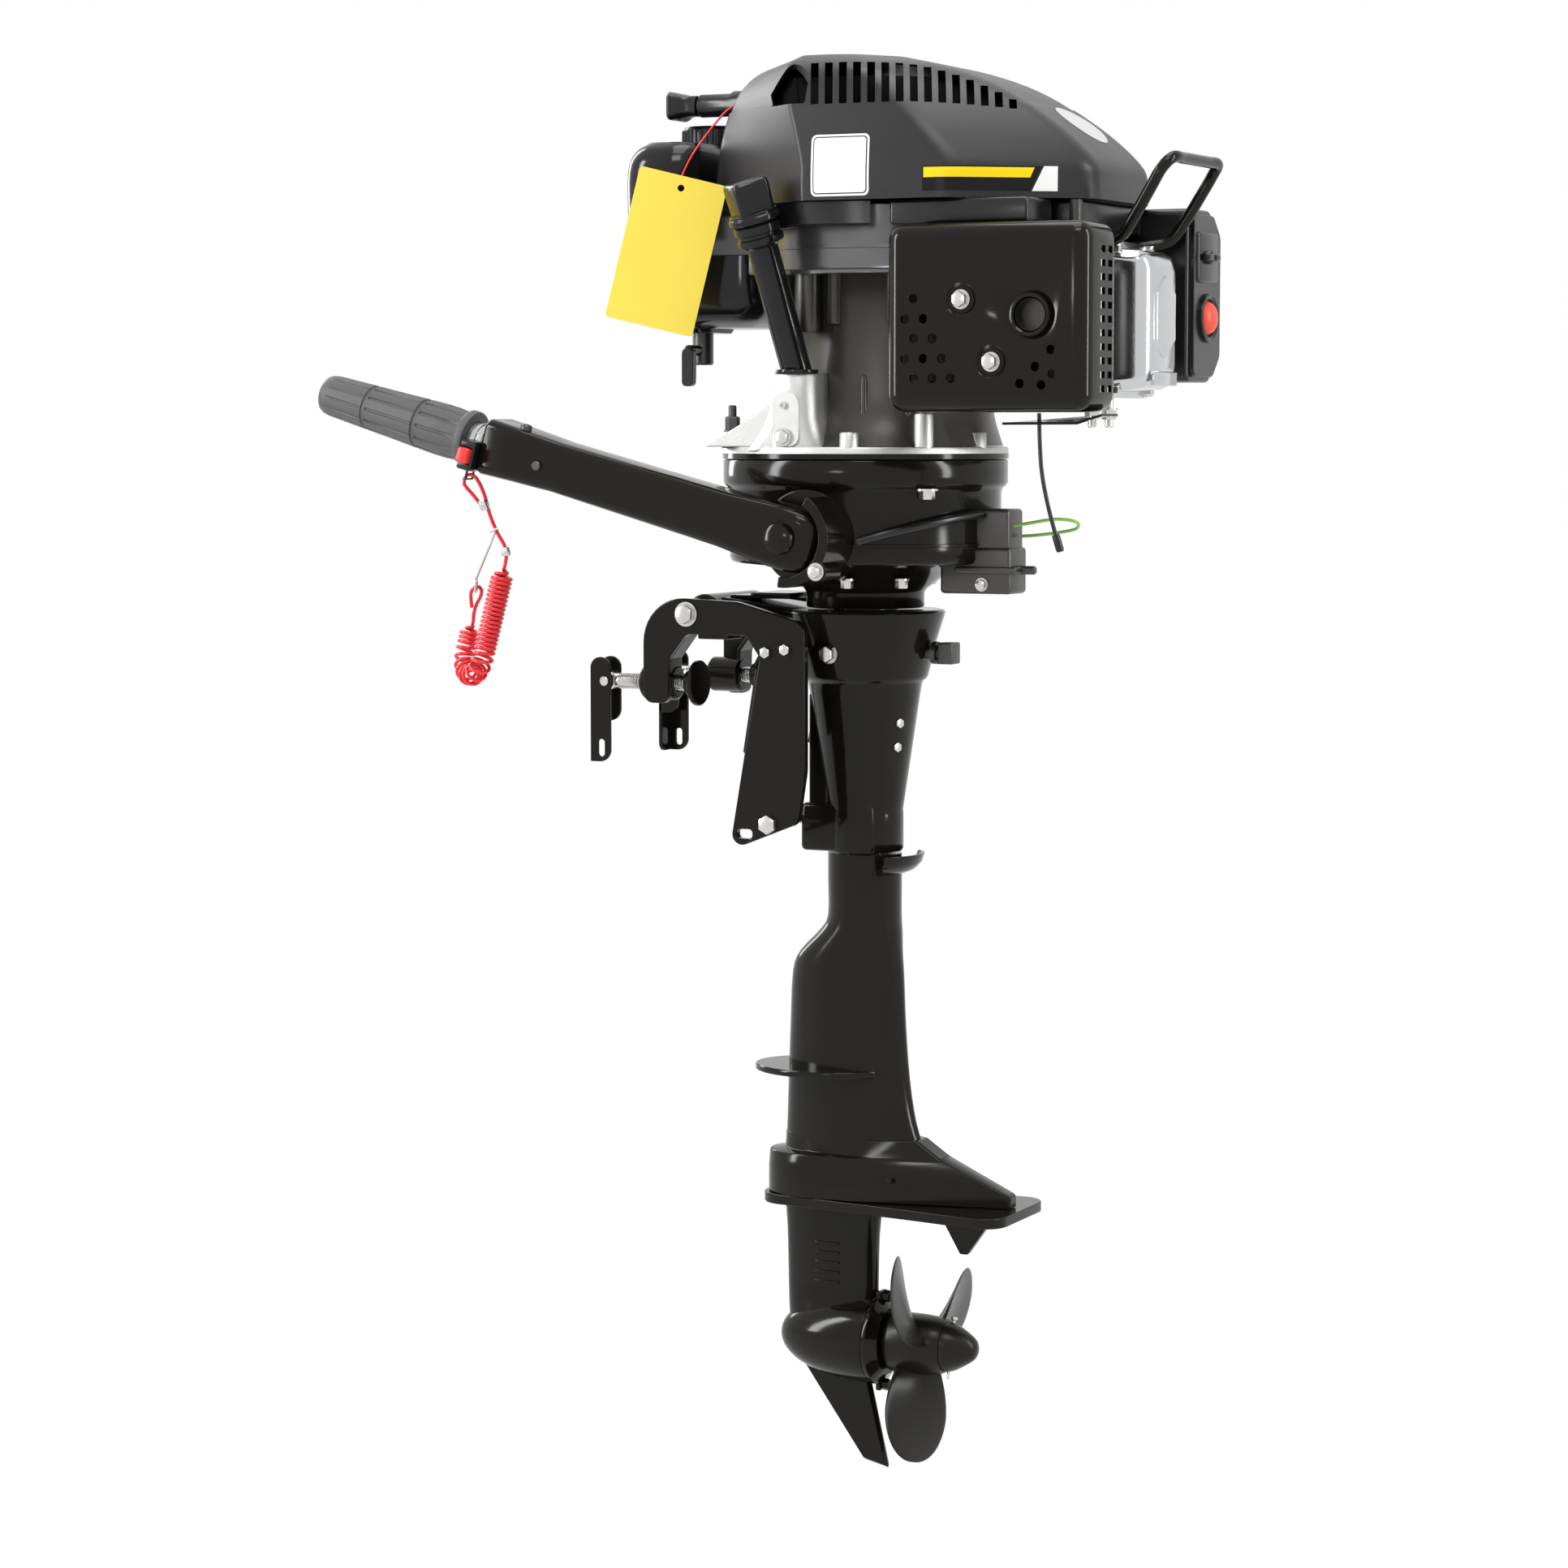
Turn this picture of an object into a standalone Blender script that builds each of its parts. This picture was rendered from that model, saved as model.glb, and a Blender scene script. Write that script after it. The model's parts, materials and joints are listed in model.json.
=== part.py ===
"""A small air-cooled outboard motor with a tiller, as an assembly of separate pieces.

The pieces are drawn in millimetres and stored in metres. +Z is up, +X points aft and -Y is port.
The origin is on the transom's top edge, midway between the two clamp brackets.
"""

import math

import bmesh
import bpy
from mathutils import Matrix, Vector

MM = 0.001
GAP = 0.3

# Driving dimensions. The steering axis is also the axis of the crankshaft and the drive shaft.
STEER_X = 83.0
TILT_X, TILT_Z = -31.0, 19.0
STOP_PIN_X, STOP_PIN_Z = 37.0, -135.0
BRACKET_INNER, BRACKET_OUTER = 62.0, 70.0
CLAMP_Y, CLAMP_Z = 55.0, -33.0
CLAMP_HEAD_X, CLAMP_PAD_X = -104.0, -27.0
CLAMP_FACE_TOP, CLAMP_FACE_FOOT = (25.0, -12.0), (3.0, -146.0)
JOURNAL_R, BUSH_R = 20.0, 24.0
FLANGE_R, FLANGE_Z = 106.0, 134.0
HOUSING_R = 101.0
TILLER_X, TILLER_Y, TILLER_Z = 0.0, -126.0, 78.0
TILLER_RISE = math.radians(15.0)
TILLER_REACH, GRIP_LENGTH = 405.0, 134.0
PROP_Z, PROP_R = -530.0, 88.0
PROP_HUB = (23.0, 69.0)
CRANKCASE_X, CRANKCASE_R = 24.0, 71.0
CYLINDER_Z = 233.0
COWL_Z = (318.0, 425.0)
STARTER_Z = 398.0
SKEG_Z = -628.0
TAG_SIZE = (66.0, 113.0)
CAMERA_TURN = math.radians(25.0)
CORD_D, COIL_R, COIL_PITCH, BEND_PITCH, BEND_R = 2.8, 7.1, 3.3, 6.1, 16.0

LOOKS = {
    "black_paint": ((0.012, 0.012, 0.013), 0.22, 0.0),
    "charcoal_plastic": ((0.045, 0.044, 0.046), 0.5, 0.0),
    "black_plastic": ((0.015, 0.015, 0.016), 0.4, 0.0),
    "rubber": ((0.07, 0.07, 0.072), 0.7, 0.0),
    "cast_aluminium": ((0.55, 0.55, 0.55), 0.42, 1.0),
    "dark_casting": ((0.04, 0.04, 0.042), 0.45, 0.6),
    "steel": ((0.5, 0.5, 0.5), 0.3, 1.0),
    "zinc": ((0.68, 0.68, 0.68), 0.16, 1.0),
    "red_plastic": ((0.75, 0.04, 0.035), 0.35, 0.0),
    "orange_rubber": ((0.72, 0.08, 0.03), 0.45, 0.0),
    "yellow_card": ((0.9, 0.78, 0.02), 0.55, 0.0),
    "green_wire": ((0.35, 0.62, 0.1), 0.4, 0.0),
}

TILLER_PIVOT = Vector((STEER_X + TILLER_X, TILLER_Y, TILLER_Z))
FRAMES = {
    "clamp": Matrix.Identity(4),
    "steer": Matrix.Translation((STEER_X, 0, 0)),
    "tiller": Matrix.Translation(TILLER_PIVOT) @ Matrix.Rotation(TILLER_RISE, 4, "Y"),
}
bodies = {}
materials = {}


# Shaping tools. Each returns an object whose mesh is in millimetres.

def link(data):
    obj = bpy.data.objects.new("piece", data)
    bpy.context.collection.objects.link(obj)
    return obj


def loft(rings, ring_closed=False):
    """A solid through rings of equal point count, capped, or joined end to end as a ring."""
    bm = bmesh.new()
    loops = [[bm.verts.new(point) for point in ring] for ring in rings]
    pairs = list(zip(loops, loops[1:]))
    if ring_closed:
        pairs.append((loops[-1], loops[0]))
    else:
        bm.faces.new(loops[0][::-1])
        bm.faces.new(loops[-1])
    for low, high in pairs:
        for i in range(len(low)):
            j = (i + 1) % len(low)
            bm.faces.new((low[i], low[j], high[j], high[i]))
    bmesh.ops.recalc_face_normals(bm, faces=bm.faces)
    mesh = bpy.data.meshes.new("piece")
    bm.to_mesh(mesh)
    bm.free()
    return link(mesh)


def place(u, v, along, axis):
    """A point from two coordinates across an axis and one along it."""
    return {"x": (along, u, v), "y": (u, along, v), "z": (u, v, along)}[axis]


def prism(outline, low, high, axis="z"):
    return loft([[place(u, v, along, axis) for u, v in outline] for along in (low, high)])


def circle(radius, count, centre=(0.0, 0.0), turn=0.0):
    angles = [turn + 2 * math.pi * i / count for i in range(count)]
    return [(centre[0] + radius * math.cos(a), centre[1] + radius * math.sin(a)) for a in angles]


def turned(profile, centre=(0.0, 0.0), axis="z", count=20, hollow=False):
    """A turned solid from (radius, along) points; a hollow one has a closed profile."""
    rings = [[place(u, v, along, axis) for u, v in circle(radius, count, centre)]
             for radius, along in profile]
    return loft(rings, ring_closed=hollow)


def block(low, high, bevel=0.0, segments=1):
    """A box between two corners, with rounded edges where a bevel is given."""
    bm = bmesh.new()
    bmesh.ops.create_cube(bm, size=1.0)
    size = [h - l for l, h in zip(low, high)]
    middle = [(h + l) / 2 for l, h in zip(low, high)]
    bmesh.ops.scale(bm, vec=size, verts=bm.verts)
    bmesh.ops.translate(bm, vec=middle, verts=bm.verts)
    if bevel:
        bmesh.ops.bevel(bm, geom=bm.edges[:], offset=bevel, segments=segments, affect="EDGES", profile=0.5)
    mesh = bpy.data.meshes.new("piece")
    bm.to_mesh(mesh)
    bm.free()
    return link(mesh)


def rounded(corners, steps=3):
    """An outline whose corners (x, y, radius) are rounded with arcs."""
    outline = []
    for i, (x, y, radius) in enumerate(corners):
        corner = Vector((x, y))
        before = (Vector(corners[i - 1][:2]) - corner).normalized()
        after = (Vector(corners[(i + 1) % len(corners)][:2]) - corner).normalized()
        half = before.angle(after) / 2
        if radius <= 0 or half > math.radians(88):
            outline.append((x, y))
            continue
        middle = corner + (before + after).normalized() * radius / math.sin(half)
        first = corner + before * radius / math.tan(half) - middle
        last = corner + after * radius / math.tan(half) - middle
        sweep = first.angle_signed(last)
        for step in range(steps + 1):
            arm = first.copy()
            arm.rotate(Matrix.Rotation(-sweep * step / steps, 2))
            outline.append(tuple(middle + arm))
    return outline


def oval(front, aft, half_width, count=16, tail=1.0):
    """A streamlined outline along X; a tail over 1 draws the aft end to a finer edge."""
    outline = []
    for i in range(count):
        angle = 2 * math.pi * i / count
        along = math.cos(angle)
        width = abs(math.sin(angle)) ** (tail if along > 0 else 1.0)
        middle = (front + aft) / 2
        outline.append((middle + along * (aft - front) / 2, math.copysign(half_width * width, math.sin(angle))))
    return outline


def level(outline, z):
    return [(x, y, z) for x, y in outline]


def curve_object(points, diameter, resolution):
    """A round tube along points, as a curve with a bevel and filled caps."""
    curve = bpy.data.curves.new("piece", "CURVE")
    curve.dimensions = "3D"
    curve.bevel_depth = diameter / 2
    curve.bevel_resolution = resolution
    curve.use_fill_caps = True
    spline = curve.splines.new("POLY")
    spline.points.add(len(points) - 1)
    for control, point in zip(spline.points, points):
        control.co = (*point, 1.0)
    return link(curve)


def rod(points, diameter, resolution=2):
    """A bent rod as a mesh, for joining to other shapes."""
    guide = curve_object(points, diameter, resolution)
    depsgraph = bpy.context.evaluated_depsgraph_get()
    obj = link(bpy.data.meshes.new_from_object(guide.evaluated_get(depsgraph)))
    bpy.data.objects.remove(guide)
    return obj


def smooth_path(points, count):
    """Evenly spread points on a smooth curve through the route's own points."""
    route = [Vector(p) for p in points]
    route = [2 * route[0] - route[1], *route, 2 * route[-1] - route[-2]]
    fine = []
    for a, b, c, d in zip(route, route[1:], route[2:], route[3:]):
        for step in range(12):
            t = step / 12
            fine.append(b + 0.5 * t * ((c - a) + t * ((2 * a - 5 * b + 4 * c - d) + t * (3 * (b - c) + d - a))))
    fine.append(route[-2])
    lengths = [0.0]
    for a, b in zip(fine, fine[1:]):
        lengths.append(lengths[-1] + (b - a).length)
    picked = []
    for i in range(count):
        want = lengths[-1] * i / (count - 1)
        j = max(k for k in range(len(fine) - 1) if lengths[k] <= want + 1e-9)
        span = lengths[j + 1] - lengths[j]
        picked.append(fine[j].lerp(fine[j + 1], (want - lengths[j]) / span))
    return picked


def combine(target, others, operation):
    """Join or cut with other shapes, which are used up."""
    for other in others:
        modifier = target.modifiers.new(operation, "BOOLEAN")
        modifier.operation = operation
        modifier.object = other
    depsgraph = bpy.context.evaluated_depsgraph_get()
    target.data = bpy.data.meshes.new_from_object(target.evaluated_get(depsgraph))
    target.modifiers.clear()
    for other in others:
        bpy.data.objects.remove(other)
    return target


def join(target, *others):
    return combine(target, others, "UNION")


def cut(target, *others):
    return combine(target, others, "DIFFERENCE")


# Bodies and nodes.

def body(name, parent=None, matrix=None):
    """An empty on a joint's axis, which carries the pieces that move together."""
    empty = bpy.data.objects.new(name + "_axis", None)
    bpy.context.collection.objects.link(empty)
    world = matrix or Matrix.Identity(4)
    above = bodies[parent][1] if parent else Matrix.Identity(4)
    empty.parent = bodies[parent][0] if parent else None
    local = above.inverted() @ world
    local.translation = local.translation * MM
    empty.matrix_local = local
    bodies[name] = (empty, world)


def material(look):
    if look not in materials:
        colour, roughness, metallic = LOOKS[look]
        made = bpy.data.materials.new(look)
        made.use_nodes = True
        shader = made.node_tree.nodes["Principled BSDF"]
        shader.inputs["Base Color"].default_value = (*colour, 1.0)
        shader.inputs["Roughness"].default_value = roughness
        shader.inputs["Metallic"].default_value = metallic
        materials[look] = made
    return materials[look]


def node(name, obj, carrier, look, frame="steer"):
    """Name a finished shape, drawn in a frame, and hang it on its body's axis."""
    empty, world = bodies[carrier]
    obj.name = name
    obj.data.name = name
    obj.data.transform(Matrix.Scale(MM, 4) @ world.inverted() @ FRAMES[frame])
    if obj.type == "CURVE":
        obj.data.bevel_depth *= MM
        for point in obj.data.splines[0].points:
            point.radius = 1.0
    else:
        obj.data.shade_smooth()
        obj.data.set_sharp_from_angle(angle=math.radians(32))
    obj.parent = empty
    obj.data.materials.clear()
    obj.data.materials.append(material(look))
    return obj


# Transom clamp.

def clamp_bracket(side):
    """One C-shaped bracket: a side plate with a seat, a clamp face and a screw boss turned inwards."""
    face_top, face_foot = Vector(CLAMP_FACE_TOP), Vector(CLAMP_FACE_FOOT)
    plate = rounded([
        (4, -156, 8), (face_top.x + 4, face_top.y, 6), (18, 4, 4), (-32, 4, 8), (-46, -14, 6),
        (-47, -48, 6), (-68, -48, 8), (-68, 32, 30), (10, 29, 8), (66, 14, 10), (66, -95, 10), (60, -134, 8)])
    span = sorted((side * BRACKET_INNER, side * BRACKET_OUTER))
    bracket = prism(plate, *span, axis="y")
    inward = sorted((side * 44, side * (BRACKET_INNER + 4)))
    seat = block((-24, inward[0], 0), (2, inward[1], 12))
    across = (face_foot - face_top).normalized()
    back = Vector((-across.y, across.x)) * 10
    upper, lower = face_top + across * 8, face_top + across * 72
    face = prism([tuple(p) for p in (upper, lower, lower + back, upper + back)], *inward, axis="y")
    boss = turned([(13, -72), (13, -46)], (side * CLAMP_Y, CLAMP_Z), "x", 16)
    join(bracket, seat, face, boss)
    wide = sorted((side * 40, side * 80))
    bolt_hole = turned([(6.4, wide[0]), (6.4, wide[1])], (TILT_X, TILT_Z), "y", 12)
    pin_hole = turned([(4.4, wide[0]), (4.4, wide[1])], (STOP_PIN_X, STOP_PIN_Z), "y", 12)
    slot = block((10, wide[0], -146), (23, wide[1], -140))
    screw_hole = turned([(6.4, -90), (6.4, -40)], (side * CLAMP_Y, CLAMP_Z), "x", 12)
    return cut(bracket, bolt_hole, pin_hole, slot, screw_hole)


def headed_pin(radius, head_radius, head, centre):
    """A cross pin through both brackets with a hexagon at each end."""
    reach = BRACKET_OUTER + GAP
    pin = turned([(radius, -reach - 1), (radius, reach + 1)], centre, "y", 12)
    heads = [turned([(head_radius, side * reach), (head_radius, side * (reach + head))], centre, "y", 6)
             for side in (-1, 1)]
    return join(pin, *heads)


def clamp_screw(side):
    """The threaded screw, with a round eye across its front end for the handle's pin."""
    centre = (side * CLAMP_Y, CLAMP_Z)
    end = CLAMP_PAD_X - 4.5
    screw = turned([(6, CLAMP_HEAD_X), (6, end - 8), (5, end - 8.2), (5, end)], centre, "x", 12)
    y = side * CLAMP_Y
    eye = turned([(7.5, y - 6), (7.5, y + 6)], (CLAMP_HEAD_X, CLAMP_Z), "y", 14)
    hole = turned([(2.8, y - 9), (2.8, y + 9)], (CLAMP_HEAD_X, CLAMP_Z), "y", 10)
    return cut(join(screw, eye), hole)


def clamp_pad(side):
    """The round pad that bears on the transom, with a socket for the screw's tip."""
    x = CLAMP_PAD_X
    centre = (side * CLAMP_Y, CLAMP_Z)
    pad = turned([(9, x - 11), (9, x - 6), (17, x - 4), (17, x)], centre, "x", 18)
    return cut(pad, turned([(5.5, x - 14), (5.5, x - 4)], centre, "x", 12))


def clamp_handle(side):
    """The folding channel handle, hung on the screw's eye by its pin."""
    y, x = side * CLAMP_Y, CLAMP_HEAD_X
    channel = [(x - 12, y - 9.5), (x + 5, y - 9.5), (x + 5, y - 6.6), (x - 9, y - 6.6),
               (x - 9, y + 6.6), (x + 5, y + 6.6), (x + 5, y + 9.5), (x - 12, y + 9.5)]
    handle = prism(channel, -94, -15)
    pin = turned([(2.4, y - 9), (2.4, y + 9)], (x, CLAMP_Z), "y", 10)
    slot = block((x - 20, y - 2.5, -89), (x - 6, y + 2.5, -78))
    return cut(join(handle, pin), slot)


def make_clamp():
    body("clamp")
    for side, label in ((-1, "port"), (1, "starboard")):
        head = Matrix.Translation((CLAMP_HEAD_X, side * CLAMP_Y, CLAMP_Z))
        body("clamp_pad_" + label, "clamp", head)
        body("clamp_screw_" + label, "clamp_pad_" + label, head)
        body("clamp_handle_" + label, "clamp_screw_" + label, head)
        node("clamp_bracket_" + label, clamp_bracket(side), "clamp", "black_paint", "clamp")
        node("clamp_pad_" + label, clamp_pad(side), "clamp_pad_" + label, "black_paint", "clamp")
        node("clamp_screw_" + label, clamp_screw(side), "clamp_screw_" + label, "steel", "clamp")
        node("clamp_handle_" + label, clamp_handle(side), "clamp_handle_" + label, "black_paint", "clamp")
    node("tilt_bolt", headed_pin(6, 10, 6, (TILT_X, TILT_Z)), "clamp", "steel", "clamp")
    node("tilt_stop_pin", headed_pin(4, 7, 5, (STOP_PIN_X, STOP_PIN_Z)), "clamp", "steel", "clamp")


# Swivel bracket, which tilts on the clamp and carries the steering bearings.

def swivel_bracket():
    casting = turned([(28, -128), (42, -36), (44, -31), (46, -28), (60, 21), (58, 23)], count=20)
    tilt_x = TILT_X - STEER_X
    barrel = turned([(14, -43), (14, 43)], (tilt_x, TILT_Z), "y", 16)
    arm = prism(rounded([(tilt_x - 2, 8, 4), (-40, 6, 0), (-40, 22, 0), (tilt_x, 32.5, 4)], 2), -30, 30, "y")
    foot_x = STOP_PIN_X - STEER_X + 4 + GAP
    foot = block((foot_x, -26, -158), (20, 26, -122), 4, 1)
    sleeve = turned([(29, -158), (29, -120)], count=20)
    join(casting, arm, barrel, foot, sleeve)
    bore = turned([(BUSH_R, -180), (BUSH_R, 40)], count=16)
    bolt_hole = turned([(6.4, -60), (6.4, 60)], (tilt_x, TILT_Z), "y", 12)
    lock_hole = turned([(5.4, 10), (5.4, 70)], (0, -9), "x", 10)
    return cut(casting, bore, bolt_hole, lock_hole)


def bush(low, high):
    inner, outer = JOURNAL_R + 2 * GAP, BUSH_R - GAP
    return turned([(inner, low), (inner, high), (outer, high), (outer, low)], count=16, hollow=True)


def lock_screw():
    """The steering friction screw with its square head."""
    screw = turned([(5, JOURNAL_R + 5), (5, 66)], (0, -9), "x", 10)
    head = block((60, -8, -17), (74, 8, -1), 1.5, 1)
    collar = turned([(8, 56), (8, 61)], (0, -9), "x", 12)
    return join(screw, head, collar)


def make_swivel():
    body("swivel", "clamp", Matrix.Translation((TILT_X, 0, TILT_Z)))
    body("steering_lock", "swivel", Matrix.Translation((STEER_X, 0, -9)))
    node("swivel_bracket", swivel_bracket(), "swivel", "black_paint")
    node("upper_bush", bush(-2, 22), "swivel", "black_plastic")
    node("lower_bush", bush(-157, -131), "swivel", "black_plastic")
    node("steering_lock_screw", lock_screw(), "steering_lock", "black_paint")


# Leg: adapter, drive housing, lower unit and what turns inside them.

def adapter_housing():
    """The housing under the engine, with the tiller's yoke cast on its port side."""
    outer = turned([(44, 24), (44, 36), (70, 55), (HOUSING_R - 3, 58), (HOUSING_R, 62), (HOUSING_R, 112),
                    (FLANGE_R, 118), (FLANGE_R, FLANGE_Z)], count=28)
    pivot = (TILLER_X, TILLER_Z)
    cheek = turned([(35, TILLER_Y + 21.5), (35, TILLER_Y + 50)], pivot, "y", 20)
    arc = [math.radians(-95 + 150 * i / 8) for i in range(9)]
    wall = [(pivot[0] + 27.5 * math.cos(a), pivot[1] + 27.5 * math.sin(a)) for a in arc]
    wall += [(pivot[0] + 35 * math.cos(a), pivot[1] + 35 * math.sin(a)) for a in reversed(arc)]
    rib = prism(wall, TILLER_Y - 14, TILLER_Y + 25, "y")
    lug = block((70, -22, 36), (126, 10, 98), 4, 1)
    join(outer, cheek, rib, lug)
    chamber = turned([(78, 62), (78, 150)], count=20)
    socket = turned([(JOURNAL_R + GAP, 10), (JOURNAL_R + GAP, 45)], count=20)
    shaft_way = turned([(11, 40), (11, 70)], count=12)
    bolt_way = turned([(6.3, TILLER_Y + 10), (6.3, TILLER_Y + 70)], pivot, "y", 12)
    return cut(outer, chamber, socket, shaft_way, bolt_way)


def tiller_bolt():
    pivot = (TILLER_X, TILLER_Z)
    bolt = turned([(6, TILLER_Y - 25), (6, TILLER_Y + 52)], pivot, "y", 12)
    return join(bolt, turned([(10, TILLER_Y - 29), (10, TILLER_Y - 22)], pivot, "y", 6))


def drive_housing():
    """The round journal above, the streamlined casing below, with its splash plate and foot."""
    sections = [(-20, 20, 20, 44.7, 1), (-20, 20, 20, -159.6, 1), (-28, 28, 27, -160, 1), (-28, 28, 27, -208, 1),
                (-36, 29, 27, -218, 1), (-51, 30, 26, -232, 1), (-59, 32, 26, -255, 1.1), (-62, 36, 26, -330, 1.2),
                (-64, 46, 26, -380, 1.3), (-65, 52, 26, -386, 1.3), (-77, 60, 30, -388, 1.3),
                (-78, 95, 31, -401, 1.3), (-78, 119, 32, -410, 1.3), (-78, 122, 32, -420, 1.3)]
    casing = loft([level(oval(front, aft, half, 16, tail), z) for front, aft, half, z, tail in sections])
    splash = prism(oval(-88, 24, 42, 16), -327, -323)
    shaft_way = turned([(8, 60), (8, -440)], count=12)
    return cut(join(casing, splash), shaft_way)


def lower_unit():
    """Anti-ventilation plate with its trim tab, strut, gearcase bullet and skeg in one casting."""
    plate = prism(rounded([(-79, -25, 18), (50, -40, 0), (130, -52, 18), (130, 52, 18), (50, 40, 0), (-79, 25, 18)]),
                  -428, -420 - GAP)
    strut = loft([level(oval(front, aft, half, 16, 0.8), z) for front, aft, half, z in (
        (-66, 15, 17, -424), (-64, 12, 15, -450), (-63, 11, 15, -490), (-62, 11, 20, -512), (-60, 8, 22, -525))])
    bullet = turned([(12, -67), (23, -62), (30, -50), (33, -28), (33, 12)], (0, PROP_Z), "x", 20)
    skeg = prism([(-61, -530), (2, SKEG_Z + 4), (21, SKEG_Z), (6, -560), (-8, -540)], -3.5, 3.5, "y")
    tab = prism([(60, -424), (110, -424), (86, -458), (80, -458)], -3, 3, "y")
    join(plate, strut, bullet, skeg, tab)
    gear_room = turned([(24, -33), (24, 20)], (0, PROP_Z), "x", 20)
    front_bearing = turned([(7.4, -46), (7.4, -20)], (0, PROP_Z), "x", 12)
    shaft_way = turned([(5.5, -400), (5.5, PROP_Z)], count=12)
    pinion_room = turned([(10, -502.5), (10, PROP_Z)], count=14)
    return cut(plate, gear_room, front_bearing, shaft_way, pinion_room)


def bearing_carrier():
    carrier = turned([(23.5, 9.6), (23.5, 12 + GAP), (33, 12 + GAP), (33, 16), (28, 18.5), (25, 21.8)],
                     (0, PROP_Z), "x", 18)
    return cut(carrier, turned([(7.5, -20), (7.5, 40)], (0, PROP_Z), "x", 12))


def drive_shaft():
    """The vertical shaft with its bevel pinion and the cup that the centrifugal clutch grips."""
    shaft = turned([(4.5, 70), (4.5, -512)], count=12)
    pinion = turned([(9, -504), (9, -508), (5.5, -513)], count=14)
    drum = turned([(55, 66), (55, 100)], count=16)
    hollow = turned([(50, 71), (50, 110)], count=16)
    return cut(join(drum, shaft, pinion), hollow)


def propeller_shaft():
    shaft = turned([(7, -44), (7, 86)], (0, PROP_Z), "x", 12)
    return join(shaft, turned([(21, -15), (21, -11), (15, -6)], (0, PROP_Z), "x", 18))


def propeller_blade(angle):
    """One twisted blade; its chord follows the propeller's pitch at each radius."""
    pitch, middle = 120.0, (PROP_HUB[0] + PROP_HUB[1]) / 2
    out = Vector((0, math.cos(angle), math.sin(angle)))
    aside = Vector((0, -math.sin(angle), math.cos(angle)))
    ahead = Vector((1, 0, 0))
    rings = []
    for radius, chord, thick in ((18, 17, 7), (38, 28, 5), (58, 34, 4), (74, 29, 3), (84, 17, 2), (PROP_R, 5, 1)):
        lean = math.atan2(pitch, 2 * math.pi * radius)
        along = aside * math.cos(lean) + ahead * math.sin(lean)
        across = ahead * math.cos(lean) - aside * math.sin(lean)
        centre = Vector((middle + 0.06 * radius, 0, PROP_Z)) + out * radius
        rings.append([centre + along * chord * math.cos(t) + across * thick / 2 * math.sin(t)
                      for t in (2 * math.pi * i / 8 for i in range(8))])
    return loft(rings)


def propeller():
    low, high = PROP_HUB
    hub = turned([(20, low), (23, low + 5), (22, high - 9), (19, high)], (0, PROP_Z), "x", 16)
    blades = [propeller_blade(math.radians(first)) for first in (-105, 15, 135)]
    join(hub, *blades)
    return cut(hub, turned([(7 + GAP, low - 10), (7 + GAP, high + 10)], (0, PROP_Z), "x", 12))


def propeller_nut():
    start = PROP_HUB[1] + GAP
    nut = turned([(19, start), (17, start + 7), (9, start + 19), (3, start + 24)], (0, PROP_Z), "x", 18)
    return cut(nut, turned([(7 + GAP, start - 5), (7 + GAP, 86.5)], (0, PROP_Z), "x", 12))


def make_leg():
    body("powerhead", "swivel", FRAMES["steer"])
    body("drive_train", "powerhead", FRAMES["steer"])
    body("propeller", "powerhead", Matrix.Translation((STEER_X, 0, PROP_Z)))
    node("adapter_housing", adapter_housing(), "powerhead", "black_paint")
    node("tiller_bolt", tiller_bolt(), "powerhead", "steel")
    node("drive_housing", drive_housing(), "powerhead", "black_paint")
    node("lower_unit", lower_unit(), "powerhead", "black_paint")
    node("bearing_carrier", bearing_carrier(), "powerhead", "black_paint")
    node("drive_shaft", drive_shaft(), "drive_train", "steel")
    node("propeller_shaft", propeller_shaft(), "propeller", "steel")
    node("propeller", propeller(), "propeller", "black_paint")
    node("propeller_nut", propeller_nut(), "propeller", "black_paint")


# Engine.

OIL_FOOT, OIL_TOP = Vector((-14, -88, 197)), Vector((-38, -126, 335))
OIL_WAY = (OIL_TOP - OIL_FOOT).normalized()
AIR_BOX_AFT, PRIMER = 237.0, (85.0, 237.0)
GUARD_LOW, GUARD_HIGH = (89.0, -163.0, 167.5), (241.5, -104.0, 298.0)
OUTLET = (199.5, 234.0)


def along_oil(distance):
    return OIL_FOOT + OIL_WAY * distance


def engine_base():
    """The bright sump flange, with the boss that takes the oil filler."""
    base = turned([(FLANGE_R, FLANGE_Z + GAP), (FLANGE_R, 143), (92, 143.5), (90, 150)], count=28)
    boss = prism([(-46, 140), (-33, 172), (-31, 197 - GAP), (4, 197 - GAP), (6, 140)], -100, -76, "y")
    join(base, boss)
    return cut(base, turned([(13, 120), (13, 160)], count=14))


def crankcase():
    """The dark crankcase, with the round shroud that carries the blower cover."""
    centre = (CRANKCASE_X, 0)
    case = turned([(CRANKCASE_R, 150 + GAP), (CRANKCASE_R, 276), (60, 292)], centre, count=24)
    room = turned([(42, 165), (42, 276)], count=14)
    join(case, turned([(96, 286), (98, 290), (98, COWL_Z[0] - 2)], centre, count=24))
    shaft_way = turned([(10.5, 140), (10.5, COWL_Z[0] + 10)], count=12)
    cylinder_way = turned([(33, 20), (33, 110)], (0, CYLINDER_Z), "x", 16)
    return cut(case, room, shaft_way, cylinder_way)


def crankshaft():
    """The crank with its throw, and the centrifugal clutch's hub below."""
    shaft = turned([(46, 74), (46, 97), (10, 97.5), (10, 206)], count=14)
    upper = turned([(10, 252), (10, 352)], count=12)
    webs = [turned([(36, low), (36, low + 10)], count=14) for low in (204, 246)]
    pin = turned([(9, 210), (9, 250)], (22, 0), count=12)
    return join(shaft, webs[0], pin, webs[1], upper)


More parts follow.
